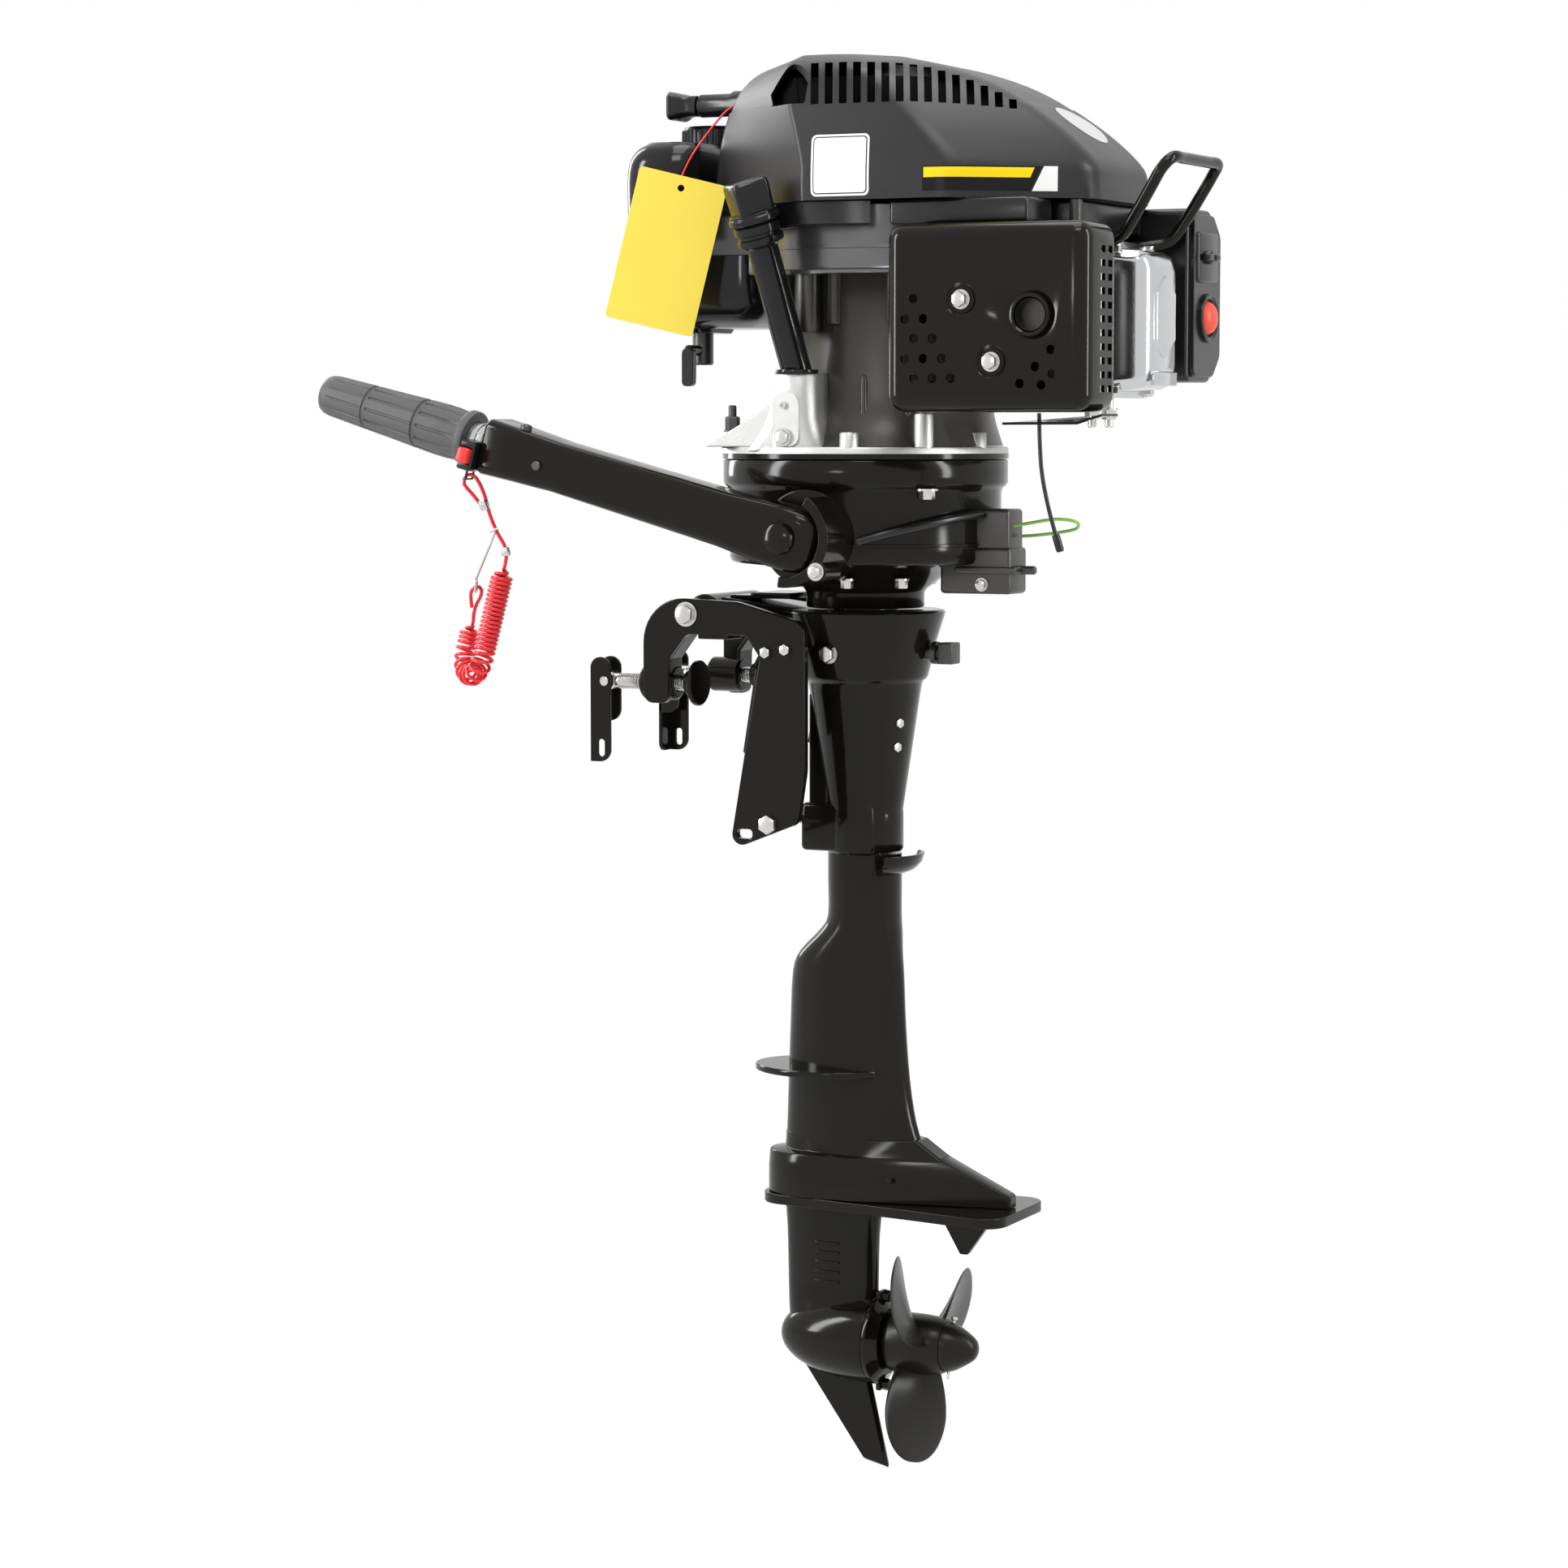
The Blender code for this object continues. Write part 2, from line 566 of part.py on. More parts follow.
def flywheel():
    bore = 10 + GAP
    return turned([(bore, 322), (30, 320), (84, 326), (84, 348), (60, 340), (bore, 344)], count=20, hollow=True)


def cylinder():
    start = CRANKCASE_X + CRANKCASE_R + GAP
    barrel = turned([(38, start), (38, 172)], (0, CYLINDER_Z), "x", 16)
    fins = []
    for x in (104, 117, 130, 143, 156):
        outline = rounded([(-46, 187, 8), (46, 187, 8), (46, 279, 8), (-46, 279, 8)], 1)
        fins.append(prism(outline, x, x + 4, "x"))
    join(barrel, *fins)
    return cut(barrel, turned([(32, 80), (32, 190)], (0, CYLINDER_Z), "x", 14))


def cylinder_head():
    return block((172 + GAP, -46, 183), (206, 46, 283), 6, 1)


def valve_cover():
    return block((206 + GAP, -40, 178), (236, 36, 289), 9, 2)


def spark_plug():
    return turned([(10, -46.5), (10, -54), (6, -56), (6, -70), (9, -71), (9, -92)], (189, 262), "y", 10)


def muffler():
    """The silencer box with its pipe from the cylinder head."""
    box = block((104, -151, 176), (226, -101, 288), 12, 1)
    pipe = turned([(12, -110), (12, -46.5)], (189, 225), "y", 14)
    return join(box, pipe)


def muffler_guard():
    """The pressed cover over the silencer, open towards the cylinder."""
    shell = block(GUARD_LOW, GUARD_HIGH, 9, 2)
    wall = 2.5
    low = [value + wall for value in GUARD_LOW]
    high = [GUARD_HIGH[0] - wall, GUARD_HIGH[1] + 60, GUARD_HIGH[2] - wall]
    outlet = turned([(12, GUARD_LOW[1] - 10), (12, GUARD_LOW[1] + 8)], OUTLET, "y", 20)
    return cut(shell, block(low, high, 7, 2), outlet)


def lift_handle():
    half = [(186, -40, 287.6), (204, -46, 287.6), (222, -53, 291), (234, -55, 306), (254, -56, 338), (260, -50, 345.5)]
    route = half + [(x, -y - 10, z) for x, y, z in reversed(half)]
    return rod(route, 8.5, 2)


def carburettor():
    bowl = turned([(15, 182), (18, 188), (18, 212)], (126, 76), "z", 14)
    return join(block((104, 54, 208), (148, 96, 256), 4, 1), bowl)


def air_cleaner():
    outline = [(54, 190), (100, 190), (117, 207), (117, 299), (100, 316), (54, 316)]
    box = prism(outline, 152, AIR_BOX_AFT, "x")
    return cut(box, turned([(15, AIR_BOX_AFT - 14), (15, AIR_BOX_AFT + 9)], PRIMER, "x", 16))


def primer_bulb():
    x = AIR_BOX_AFT
    return turned([(14, x - 8), (14, x + 2), (11, x + 9), (5, x + 13)], PRIMER, "x", 16)


def tank_ring(front, aft, half, corner, z):
    return level(rounded([(front, -half, corner), (aft, -half, corner), (aft, half, corner), (front, half, corner)]), z)


def fuel_tank():
    """The tank ahead of the engine, with a lobe under the shroud, its outlet and its bracket to the crankcase."""
    tank = loft([tank_ring(*ring) for ring in (
        (-152, -120, 24, 10, 228), (-168, -112, 62, 20, 262), (-172, -112, 70, 24, 278), (-172, -112, 70, 24, 346),
        (-167, -115, 64, 20, 361), (-158, -120, 54, 14, 368))])
    lobe = loft([tank_ring(*ring) for ring in (
        (-140, -80, 36, 14, 231), (-146, -68, 50, 18, 240), (-148, -62, 56, 20, 256), (-148, -62, 56, 20, 284))])
    bracket = block((-114, -15, 262), (CRANKCASE_X - CRANKCASE_R - GAP, 15, 272))
    outlet = turned([(8, 204), (8, 232)], (-136, 0), "z", 12)
    return join(tank, lobe, bracket, outlet)


def fuel_cap():
    return turned([(25, 368 + GAP), (25, 380), (21, 384)], (-140, 30), "z", 18)


def fuel_tap_lever():
    stem = turned([(6, -24), (6, -8.5)], (-136, 215), "y", 12)
    return join(stem, block((-141, -26, 188), (-131, -19, 217), 2, 1))


def oil_filler_tube():
    tube = rod([along_oil(4.2), along_oil(112)], 22, 3)
    collar = rod([along_oil(96), along_oil(111.5)], 34, 4)
    bore = rod([along_oil(8), along_oil(130)], 16, 2)
    return cut(join(tube, collar), bore)


def oil_cap():
    """The filler cap with its dipstick."""
    cap = rod([along_oil(112 + GAP), along_oil(143)], 38, 4)
    return join(cap, rod([along_oil(20), along_oil(115)], 6, 1))


def cowl_ring(inset, z, front, aft, width):
    """The blower cover's plan at one height: flat sides, a blunt nose and a narrow tail."""
    f, a, w = front + inset, aft - inset, width - inset
    waist = f + (a - f) * 0.36
    hip = f + (a - f) * 0.72
    corners = [(f, -w * 0.36, 22), (waist, -w, 14), (hip, -w * 0.98, 30), (a, -w * 0.46, 20),
               (a, w * 0.46, 20), (hip, w * 0.98, 30), (waist, w, 14), (f, w * 0.36, 22)]
    return level(rounded(corners, 2), z)


def cowl():
    """The moulded blower cover with the starter's rope guide and spindle."""
    low, high = COWL_Z
    shape = [(low, -106, 204, 121), (344, -105, 201, 121), (364, -101.5, 181, 119), (385, -96, 149, 114.5),
             (403, -88, 115, 106), (416, -74, 78, 88), (high, -52, 44, 58)]
    outer = loft([cowl_ring(0, *ring) for ring in shape])
    inside = [(low - 9, *shape[0][1:])] + [(z - 3, *rest) for z, *rest in shape[1:]]
    shell = cut(outer, loft([cowl_ring(3, *ring) for ring in inside]))
    guide = turned([(8.5, -138), (8.5, -84)], (0, STARTER_Z), "x", 14)
    spindle = turned([(4.5, 369), (4.5, high - 1.5)], count=10)
    join(shell, guide, spindle)
    return cut(shell, turned([(4.2, -150), (4.2, -70)], (0, STARTER_Z), "x", 10))


def recoil_pulley():
    bore = 4.5 + GAP
    return turned([(bore, 371), (45, 371), (41, 378), (45, 385), (bore, 385)], count=18, hollow=True)


def starter_rope():
    return rod([(-137.6, 0, STARTER_Z), (-104, 0, STARTER_Z)], 4, 1)


def starter_grip():
    """The flared pull handle."""
    flare = [(-138 - GAP, 9, 8), (-146, 9, 8), (-152, 15, 10), (-159, 17, 11)]
    return loft([[(x, y, STARTER_Z + z) for y, z in rounded(
        [(-half, -tall, 4), (half, -tall, 4), (half, tall, 4), (-half, tall, 4)], 2)] for x, half, tall in flare])


def make_engine():
    axis = FRAMES["steer"]
    body("crank", "powerhead", axis)
    body("recoil", "powerhead", axis)
    body("starter", "powerhead", axis @ Matrix.Translation((-138, 0, STARTER_Z)))
    body("oil_cap", "powerhead", axis @ Matrix.Translation(OIL_TOP))
    body("fuel_cap", "powerhead", axis @ Matrix.Translation((-140, 30, 368)))
    body("fuel_tap", "powerhead", axis @ Matrix.Translation((-136, 0, 215)))
    body("primer", "powerhead", axis @ Matrix.Translation((AIR_BOX_AFT, *PRIMER)))
    for make, carrier, look in (
            (engine_base, "powerhead", "cast_aluminium"), (crankcase, "powerhead", "dark_casting"),
            (crankshaft, "crank", "steel"), (flywheel, "crank", "cast_aluminium"),
            (cylinder, "powerhead", "dark_casting"),
            (cylinder_head, "powerhead", "cast_aluminium"), (valve_cover, "powerhead", "zinc"),
            (spark_plug, "powerhead", "black_plastic"), (muffler, "powerhead", "steel"),
            (muffler_guard, "powerhead", "black_paint"),
            (lift_handle, "powerhead", "black_paint"), (carburettor, "powerhead", "cast_aluminium"),
            (air_cleaner, "powerhead", "black_plastic"), (primer_bulb, "primer", "orange_rubber"),
            (fuel_tank, "powerhead", "black_plastic"), (fuel_cap, "fuel_cap", "black_plastic"),
            (fuel_tap_lever, "fuel_tap", "black_plastic"), (oil_filler_tube, "powerhead", "black_plastic"),
            (oil_cap, "oil_cap", "black_plastic"), (cowl, "powerhead", "charcoal_plastic"),
            (recoil_pulley, "recoil", "black_plastic"), (starter_rope, "starter", "rubber"),
            (starter_grip, "starter", "black_plastic")):
        node(make.__name__, make(), carrier, look)


# Tiller, drawn level along -X from its pivot.

SOCKET_END = -254.0
GRIP_START = -(TILLER_REACH - GRIP_LENGTH)


def tiller_arm():
    """The arm from its round knuckle to the square socket that carries the grip."""
    sections = [(0, 19, 23, 8), (-50, 18.6, 20, 8), (-196, 18, 18.5, 8), (SOCKET_END, 21, 21, 8)]
    arm = loft([[(x, y, z) for y, z in rounded(
        [(-wide, -tall, corner), (wide, -tall, corner), (wide, tall, corner), (-wide, tall, corner)], 2)]
        for x, wide, tall, corner in sections])
    join(arm, turned([(25, -21), (25, 21)], (0, 0), "y", 24))
    pivot_hole = turned([(6.4, -30), (6.4, 30)], (0, 0), "y", 12)
    shaft_way = turned([(7, SOCKET_END - 20), (7, SOCKET_END + 16)], (0, 0), "x", 12)
    return cut(arm, pivot_hole, shaft_way)


def grip_sleeve():
    start, end = SOCKET_END - GAP, GRIP_START + GAP
    return turned([(14, start), (14, end), (6.4, end), (6.4, start)], (0, 0), "x", 16, hollow=True)


def throttle_grip():
    """The rubber grip on its twist shaft, which turns in the arm's socket."""
    end = -TILLER_REACH
    grip = turned([(20, GRIP_START), (21, GRIP_START - 3), (21, GRIP_START - 6), (18.6, GRIP_START - 9),
                   (19.4, GRIP_START - 30), (15.6, end + 6), (13, end)], (0, 0), "x", 20)
    return join(grip, turned([(6, SOCKET_END + 14), (6, GRIP_START - 20)], (0, 0), "x", 12))


def stop_switch():
    """The switch block on the sleeve's port side, with the bail that takes the lanyard."""
    front, back = SOCKET_END - 13, SOCKET_END - 0.4
    switch = block((front, -28, -20), (back, -8, 2), 1.5, 1)
    saddle = turned([(14.6, front - 5), (14.6, back + 5)], (0, 0), "x", 20)
    well = block((front + 1.2, -45, -15.4), (back - 1.2, -16.5, -2.6))
    bail = rod([(-260, -21, -18), (-260, -21, -27), (-260, -11, -27), (-260, -11, -18)], 2, 1)
    return join(cut(switch, saddle, well), bail)


def stop_button():
    return block((SOCKET_END - 11.5, -33, -14.6), (SOCKET_END - 1.9, -19.8, -3.4), 1, 1)


# Lanyard, hanging in the plane that faces the port quarter: r to the right, d away, z up.

LANYARD_TOP = FRAMES["tiller"] @ Vector((-260, -16, -23.2))
SIDEWAYS = Vector((math.cos(CAMERA_TURN), math.sin(CAMERA_TURN), 0))
AWAY = Vector((-math.sin(CAMERA_TURN), math.cos(CAMERA_TURN), 0))
STRAP_ROUTE = [(10.2, 0, -27), (8.6, 0, -23.5), (2, 0, -15), (-4, 0, -8), (-3.6, 0, -2.2), (0, 0, 0), (4, 0, -2),
               (8.2, 0, -9), (11.6, 0, -18), (13.3, 0, -25), (15.4, 0, -32), (20, 0, -43), (25, 0, -52),
               (27, 0, -58.5), (25.7, 0, -67.3)]
TAIL_ROUTE = [(-0.8, 28, -108.6), (-0.3, 27.4, -104), (1.8, 25, -98), (6, 19, -90.5), (6.5, 15, -85.5),
              (3, 13.5, -83.5), (-1, 16, -87.5), (-1.8, 21.5, -94), (-1.6, 25, -99.5)]
COIL_TOP, LIMB_FOOT = Vector((25.5, 0, -68)), Vector((9, 0, -136))
SECOND_LIMB = 22.0


def hang(r, d, z):
    return LANYARD_TOP + SIDEWAYS * r + AWAY * d + Vector((0, 0, z))


def coil_frame(s):
    """The coil's centre and its two cross directions at a distance along the hanging U."""
    down = (LIMB_FOOT - COIL_TOP).normalized()
    over = Vector((-0.5, 0.866, 0))
    over = (over - down * over.dot(down)).normalized()
    first = (LIMB_FOOT - COIL_TOP).length
    turn = min(max((s - first) / BEND_R, 0.0), math.pi)
    centre = COIL_TOP + down * min(s, first) + over * BEND_R * (1 - math.cos(turn)) + down * BEND_R * math.sin(turn)
    centre -= down * max(0.0, s - first - math.pi * BEND_R)
    return centre, over * math.cos(turn) - down * math.sin(turn), down.cross(over)


def coil_points():
    """One unbroken helix on the U, drawn in to its axis at both ends and opened out round the bend."""
    first = (LIMB_FOOT - COIL_TOP).length
    bend = math.pi * BEND_R
    whole = first + bend + SECOND_LIMB
    lead, per_curl = CORD_D, 8
    points, s, step = [], lead, 0
    points.append(coil_frame(0.0)[0])
    while s < whole - lead:
        ends = min(1.0, (s - lead) / 6, (whole - lead - s) / 6)
        inside = min(1.0, max(0.0, min((s - first + 8) / 8, (first + bend + 8 - s) / 8)))
        centre, across, beside = coil_frame(s)
        angle = 2 * math.pi * step / per_curl
        radius = COIL_R * max(0.0, ends) ** 0.7
        points.append(centre + (across * math.cos(angle) + beside * math.sin(angle)) * radius)
        pitch = COIL_PITCH + (BEND_PITCH - COIL_PITCH) * inside + 2.5 * (1 - ends)
        s += pitch / per_curl
        step += 1
    points.append(coil_frame(whole - lead)[0])
    points.append(coil_frame(whole)[0])
    return points


def least_gap(points, diameter, apart):
    """The least clear distance between stretches of a tube that are some points apart."""
    fine = [a.lerp(b, t / 4) for a, b in zip(points, points[1:]) for t in range(4)]
    nearest = min((fine[i] - fine[j]).length for i in range(len(fine))
                  for j in range(i + 4 * apart, min(i + 4 * apart + 60, len(fine))))
    return nearest - diameter


def snap_hook():
    """The lanyard's spring hook: an eye for the tail and a hook round the strap."""
    eye = [hang(3, 11.5 + 5 * math.cos(a), -82.5 + 5 * math.sin(a))
           for a in (math.radians(70 - 300 * i / 12) for i in range(13))]
    strap = Vector((15.4, 0, -32)).lerp(Vector((20, 0, -43)), 0.8)
    beside = Vector((0.92, 0, 0.385))
    claw = []
    for i in range(8):
        angle = math.radians(-210 * i / 7)
        claw.append(hang(*(strap + Vector((0, 4, 0)) * math.cos(angle) + beside * 4 * math.sin(angle))))
    return rod([*reversed(eye), *claw], 2.2, 1)


def make_tiller():
    tiller = FRAMES["tiller"]
    body("tiller", "powerhead", tiller)
    body("throttle", "tiller", tiller @ Matrix.Translation((GRIP_START, 0, 0)))
    body("stop_button", "tiller", tiller @ Matrix.Translation((SOCKET_END - 6, -26, -9)))
    for make, carrier, look in (
            (tiller_arm, "tiller", "black_paint"), (grip_sleeve, "tiller", "zinc"),
            (throttle_grip, "throttle", "rubber"), (stop_switch, "tiller", "black_plastic"),
            (stop_button, "stop_button", "red_plastic")):
        node(make.__name__, make(), carrier, look, "tiller")
    strap = smooth_path([hang(*point) for point in STRAP_ROUTE], 28)
    tail = smooth_path([hang(*point) for point in TAIL_ROUTE], 17)
    coil = coil_points()
    print("lanyard coil: least gap %.2f mm" % least_gap(coil, CORD_D, 6))
    node("lanyard_strap", curve_object(strap, CORD_D, 2), "tiller", "red_plastic", "clamp")
    node("lanyard_coil", curve_object([hang(*point) for point in coil], CORD_D, 1), "tiller", "red_plastic", "clamp")
    node("lanyard_tail", curve_object(tail, CORD_D, 2), "tiller", "red_plastic", "clamp")
    node("snap_hook", snap_hook(), "tiller", "steel", "clamp")


# Leads and the hang tag.

THROTTLE_ROUTE = [(38.5, -97.5, 75), (55, -90, 80), (73, -76.5, 85), (88, -58.5, 89.5), (97.5, -41, 92.5),
                  (103.6, -23.3, 94.3)]
LEAD_ROUTE = [(184.8, -110, 167), (185, -110, 158), (185.4, -110, 146), (187, -110, 126), (191, -110, 106),
              (196, -110, 88), (201, -110, 72)]
EARTH_ROUTE = [(126.4, -15, 86), (139, -16, 88), (159, -15, 91), (172, -8, 89), (169, 0, 84), (155, 2, 81),
               (139, 1, 79), (126.4, 0, 78)]
STRING_ROUTE = [(-105, -10, 396), (-107, -20, 391), (-111, -38, 376), (-115, -58, 357), (-116.5, -76.5, 336.5)]
TAG_CENTRE, TAG_LEAN = Vector((-124, -82, 286)), math.radians(13.5)


def hang_tag():
    """A blank card tag facing the port quarter, leaning as it hangs."""
    wide, tall = TAG_SIZE[0] / 2, TAG_SIZE[1] / 2
    card = rounded([(-wide, -tall, 3), (wide, -tall, 3), (wide, tall, 3), (-wide, tall, 3)], 2)
    tag = prism(card, -0.6, 0.6, "y")
    tag = cut(tag, turned([(2.5, -5), (2.5, 5)], (0, tall - 9), "y", 10))
    turn = Matrix.Rotation(CAMERA_TURN, 4, "Z") @ Matrix.Rotation(TAG_LEAN, 4, "Y")
    tag.data.transform(Matrix.Translation(TAG_CENTRE) @ turn)
    return tag


def make_leads():
    for name, route, diameter, count, look in (
            ("throttle_cable", THROTTLE_ROUTE, 6.0, 14, "black_plastic"),
            ("ignition_lead", LEAD_ROUTE, 3.0, 14, "black_plastic"),
            ("earth_lead", EARTH_ROUTE, 2.4, 18, "green_wire"),
            ("tag_string", STRING_ROUTE, 1.6, 14, "red_plastic")):
        node(name, curve_object(smooth_path(route, count), diameter, 2), "powerhead", look)
    node("hang_tag", hang_tag(), "powerhead", "yellow_card")


def main():
    for obj in list(bpy.data.objects):
        bpy.data.objects.remove(obj)
    make_clamp()
    make_swivel()
    make_leg()
    make_engine()
    make_tiller()
    make_leads()


main()
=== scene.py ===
"""A small outboard motor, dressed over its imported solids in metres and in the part's own frame.

+Z is up, +X is aft and -Y is port. The origin is on the transom's top edge. The sections follow the motor
as it is put together: clamp, swivel bracket, leg, engine, cowl, tiller and loose pieces, and last the studio
round it.
"""

import json
import math

import bmesh
import bpy
from mathutils import Matrix, Vector
from mathutils.bvhtree import BVHTree

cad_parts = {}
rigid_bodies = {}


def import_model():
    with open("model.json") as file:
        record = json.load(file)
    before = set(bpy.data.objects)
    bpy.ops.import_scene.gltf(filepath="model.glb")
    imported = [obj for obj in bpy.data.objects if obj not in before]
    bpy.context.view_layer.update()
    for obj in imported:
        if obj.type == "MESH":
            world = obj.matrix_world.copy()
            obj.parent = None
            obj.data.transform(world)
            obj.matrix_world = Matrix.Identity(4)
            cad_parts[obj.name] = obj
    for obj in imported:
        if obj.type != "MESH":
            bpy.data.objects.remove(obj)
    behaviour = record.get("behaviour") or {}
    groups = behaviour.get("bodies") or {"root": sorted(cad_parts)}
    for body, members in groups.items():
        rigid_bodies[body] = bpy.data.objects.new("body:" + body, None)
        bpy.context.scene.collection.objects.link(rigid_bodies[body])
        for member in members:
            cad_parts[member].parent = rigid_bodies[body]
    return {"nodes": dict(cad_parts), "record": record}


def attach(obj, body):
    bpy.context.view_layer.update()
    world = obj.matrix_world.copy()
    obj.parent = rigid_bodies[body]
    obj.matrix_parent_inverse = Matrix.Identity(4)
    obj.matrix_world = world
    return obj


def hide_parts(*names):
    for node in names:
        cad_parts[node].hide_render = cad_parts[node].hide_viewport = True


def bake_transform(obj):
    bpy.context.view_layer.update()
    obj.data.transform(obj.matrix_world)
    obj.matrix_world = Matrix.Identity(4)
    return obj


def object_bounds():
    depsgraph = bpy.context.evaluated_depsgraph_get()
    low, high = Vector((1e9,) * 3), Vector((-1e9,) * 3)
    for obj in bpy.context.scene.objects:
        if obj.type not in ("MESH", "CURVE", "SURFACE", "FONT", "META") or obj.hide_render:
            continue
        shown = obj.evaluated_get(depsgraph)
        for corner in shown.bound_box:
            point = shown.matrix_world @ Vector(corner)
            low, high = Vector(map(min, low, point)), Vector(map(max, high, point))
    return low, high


for leftover in list(bpy.data.objects):
    bpy.data.objects.remove(leftover)
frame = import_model()
cad_low, cad_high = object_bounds()

# Transom clamp: two C-shaped steel brackets in gloss black paint, hooked over the transom and tied by two
# bolts. Each has a turned screw with a pressed pad at one end and a folding channel handle at the other.

MM = 0.001
CLAMP = Matrix.Identity(4)
WASHER_TALL = 1.4
record = frame["record"]
body_of = {node: body for body, nodes in record["behaviour"]["bodies"].items() for node in nodes}


def surface_drift():
    """Slow drifts of tone and gloss with a fine grain, which every finish on the motor shares."""
    tree = bpy.data.node_groups.new("surface_drift", "ShaderNodeTree")
    for name, kind, value in (
            ("Colour", "NodeSocketColor", (0.5, 0.5, 0.5, 1.0)), ("Drift", "NodeSocketFloat", 0.2),
            ("Drift Scale", "NodeSocketFloat", 20.0), ("Roughness", "NodeSocketFloat", 0.4),
            ("Gloss Drift", "NodeSocketFloat", 0.1), ("Grain Scale", "NodeSocketFloat", 900.0)):
        socket = tree.interface.new_socket(name=name, in_out="INPUT", socket_type=kind)
        socket.default_value = value
    for name, kind in (("Colour", "NodeSocketColor"), ("Roughness", "NodeSocketFloat"),
                       ("Height", "NodeSocketFloat")):
        tree.interface.new_socket(name=name, in_out="OUTPUT", socket_type=kind)
    nodes, links = tree.nodes, tree.links
    given, put_out = nodes.new("NodeGroupInput"), nodes.new("NodeGroupOutput")
    where = nodes.new("ShaderNodeTexCoord")
    slow, fine = nodes.new("ShaderNodeTexNoise"), nodes.new("ShaderNodeTexNoise")
    slow.inputs["Detail"].default_value = 5.0
    fine.inputs["Detail"].default_value = 2.0
    for texture, scale in ((slow, "Drift Scale"), (fine, "Grain Scale")):
        links.new(where.outputs["Object"], texture.inputs["Vector"])
        links.new(given.outputs[scale], texture.inputs["Scale"])
    centred = nodes.new("ShaderNodeMath")
    centred.operation = "SUBTRACT"
    centred.inputs[1].default_value = 0.5
    links.new(slow.outputs["Fac"], centred.inputs[0])
    brighter = nodes.new("ShaderNodeMath")
    brighter.operation = "MULTIPLY_ADD"
    brighter.inputs[2].default_value = 1.0
    links.new(centred.outputs[0], brighter.inputs[0])
    links.new(given.outputs["Drift"], brighter.inputs[1])
    tinted = nodes.new("ShaderNodeVectorMath")
    tinted.operation = "SCALE"
    links.new(given.outputs["Colour"], tinted.inputs[0])
    links.new(brighter.outputs[0], tinted.inputs["Scale"])
    rougher = nodes.new("ShaderNodeMath")
    rougher.operation = "MULTIPLY_ADD"
    links.new(centred.outputs[0], rougher.inputs[0])
    links.new(given.outputs["Gloss Drift"], rougher.inputs[1])
    links.new(given.outputs["Roughness"], rougher.inputs[2])
    links.new(tinted.outputs[0], put_out.inputs["Colour"])
    links.new(rougher.outputs[0], put_out.inputs["Roughness"])
    links.new(fine.outputs["Fac"], put_out.inputs["Height"])
    return tree


DRIFT = surface_drift()


def finish(name, colour, roughness, metallic=0.0, specular=0.5, drift=0.25, drift_scale=22.0,
           gloss_drift=0.12, grain=900.0, depth=0.03):
    """A material on the shared drift: its colour, gloss and grain change over the surface."""
    made = bpy.data.materials.new(name)
    made.use_nodes = True
    nodes, links = made.node_tree.nodes, made.node_tree.links
    shader = nodes["Principled BSDF"]
    shader.inputs["Metallic"].default_value = metallic
    shader.inputs["Specular IOR Level"].default_value = specular
    group = nodes.new("ShaderNodeGroup")
    group.node_tree = DRIFT
    for socket, value in (("Colour", (*colour, 1.0)), ("Drift", drift), ("Drift Scale", drift_scale),
                          ("Roughness", roughness), ("Gloss Drift", gloss_drift), ("Grain Scale", grain)):
        group.inputs[socket].default_value = value
    bump = nodes.new("ShaderNodeBump")
    bump.inputs["Strength"].default_value = depth
    bump.inputs["Distance"].default_value = MM
    links.new(group.outputs["Colour"], shader.inputs["Base Color"])
    links.new(group.outputs["Roughness"], shader.inputs["Roughness"])
    links.new(group.outputs["Height"], bump.inputs["Height"])
    links.new(bump.outputs["Normal"], shader.inputs["Normal"])
    return made


def put(mesh, name):
    obj = bpy.data.objects.new(name, mesh)
    bpy.context.scene.collection.objects.link(obj)
    return obj


def solid(bm, name, place):
    """A drawn shape, in millimetres, welded and set in its place as an object in metres."""
    bmesh.ops.remove_doubles(bm, verts=bm.verts, dist=0.002)
    bmesh.ops.transform(bm, matrix=Matrix.Scale(MM, 4) @ place, verts=bm.verts)
    bmesh.ops.recalc_face_normals(bm, faces=bm.faces)
    mesh = bpy.data.meshes.new(name)
    bm.to_mesh(mesh)
    bm.free()
    return put(mesh, name)


def skin(node):
    """A welded copy of a frame solid, with its flat faces whole again, ready for rounded edges."""
    bm = bmesh.new()
    bm.from_mesh(frame["nodes"][node].data)
    bmesh.ops.remove_doubles(bm, verts=bm.verts, dist=2e-6)
    bmesh.ops.dissolve_limit(bm, angle_limit=math.radians(1.0), verts=bm.verts, edges=bm.edges)
    mesh = bpy.data.meshes.new(node + "_skin")
    bm.to_mesh(mesh)
    bm.free()
    return put(mesh, node + "_skin")


def dress(obj, material, node, stands_for=(), edge=0.0, rounds=2, smooth=35.0):
    """Finish a piece and let it ride on a frame node's body, in place of the nodes that it stands for."""
    obj.data.shade_smooth()
    obj.data.set_sharp_from_angle(angle=math.radians(smooth))
    obj.data.materials.clear()
    obj.data.materials.append(material)
    if edge:
        edges = obj.modifiers.new("edges", "BEVEL")
        edges.width = edge * MM
        edges.segments = rounds
        edges.limit_method = "ANGLE"
        edges.angle_limit = math.radians(smooth)
        edges.harden_normals = True
    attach(obj, body_of[node])
    if stands_for:
        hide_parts(*stands_for)
    return obj


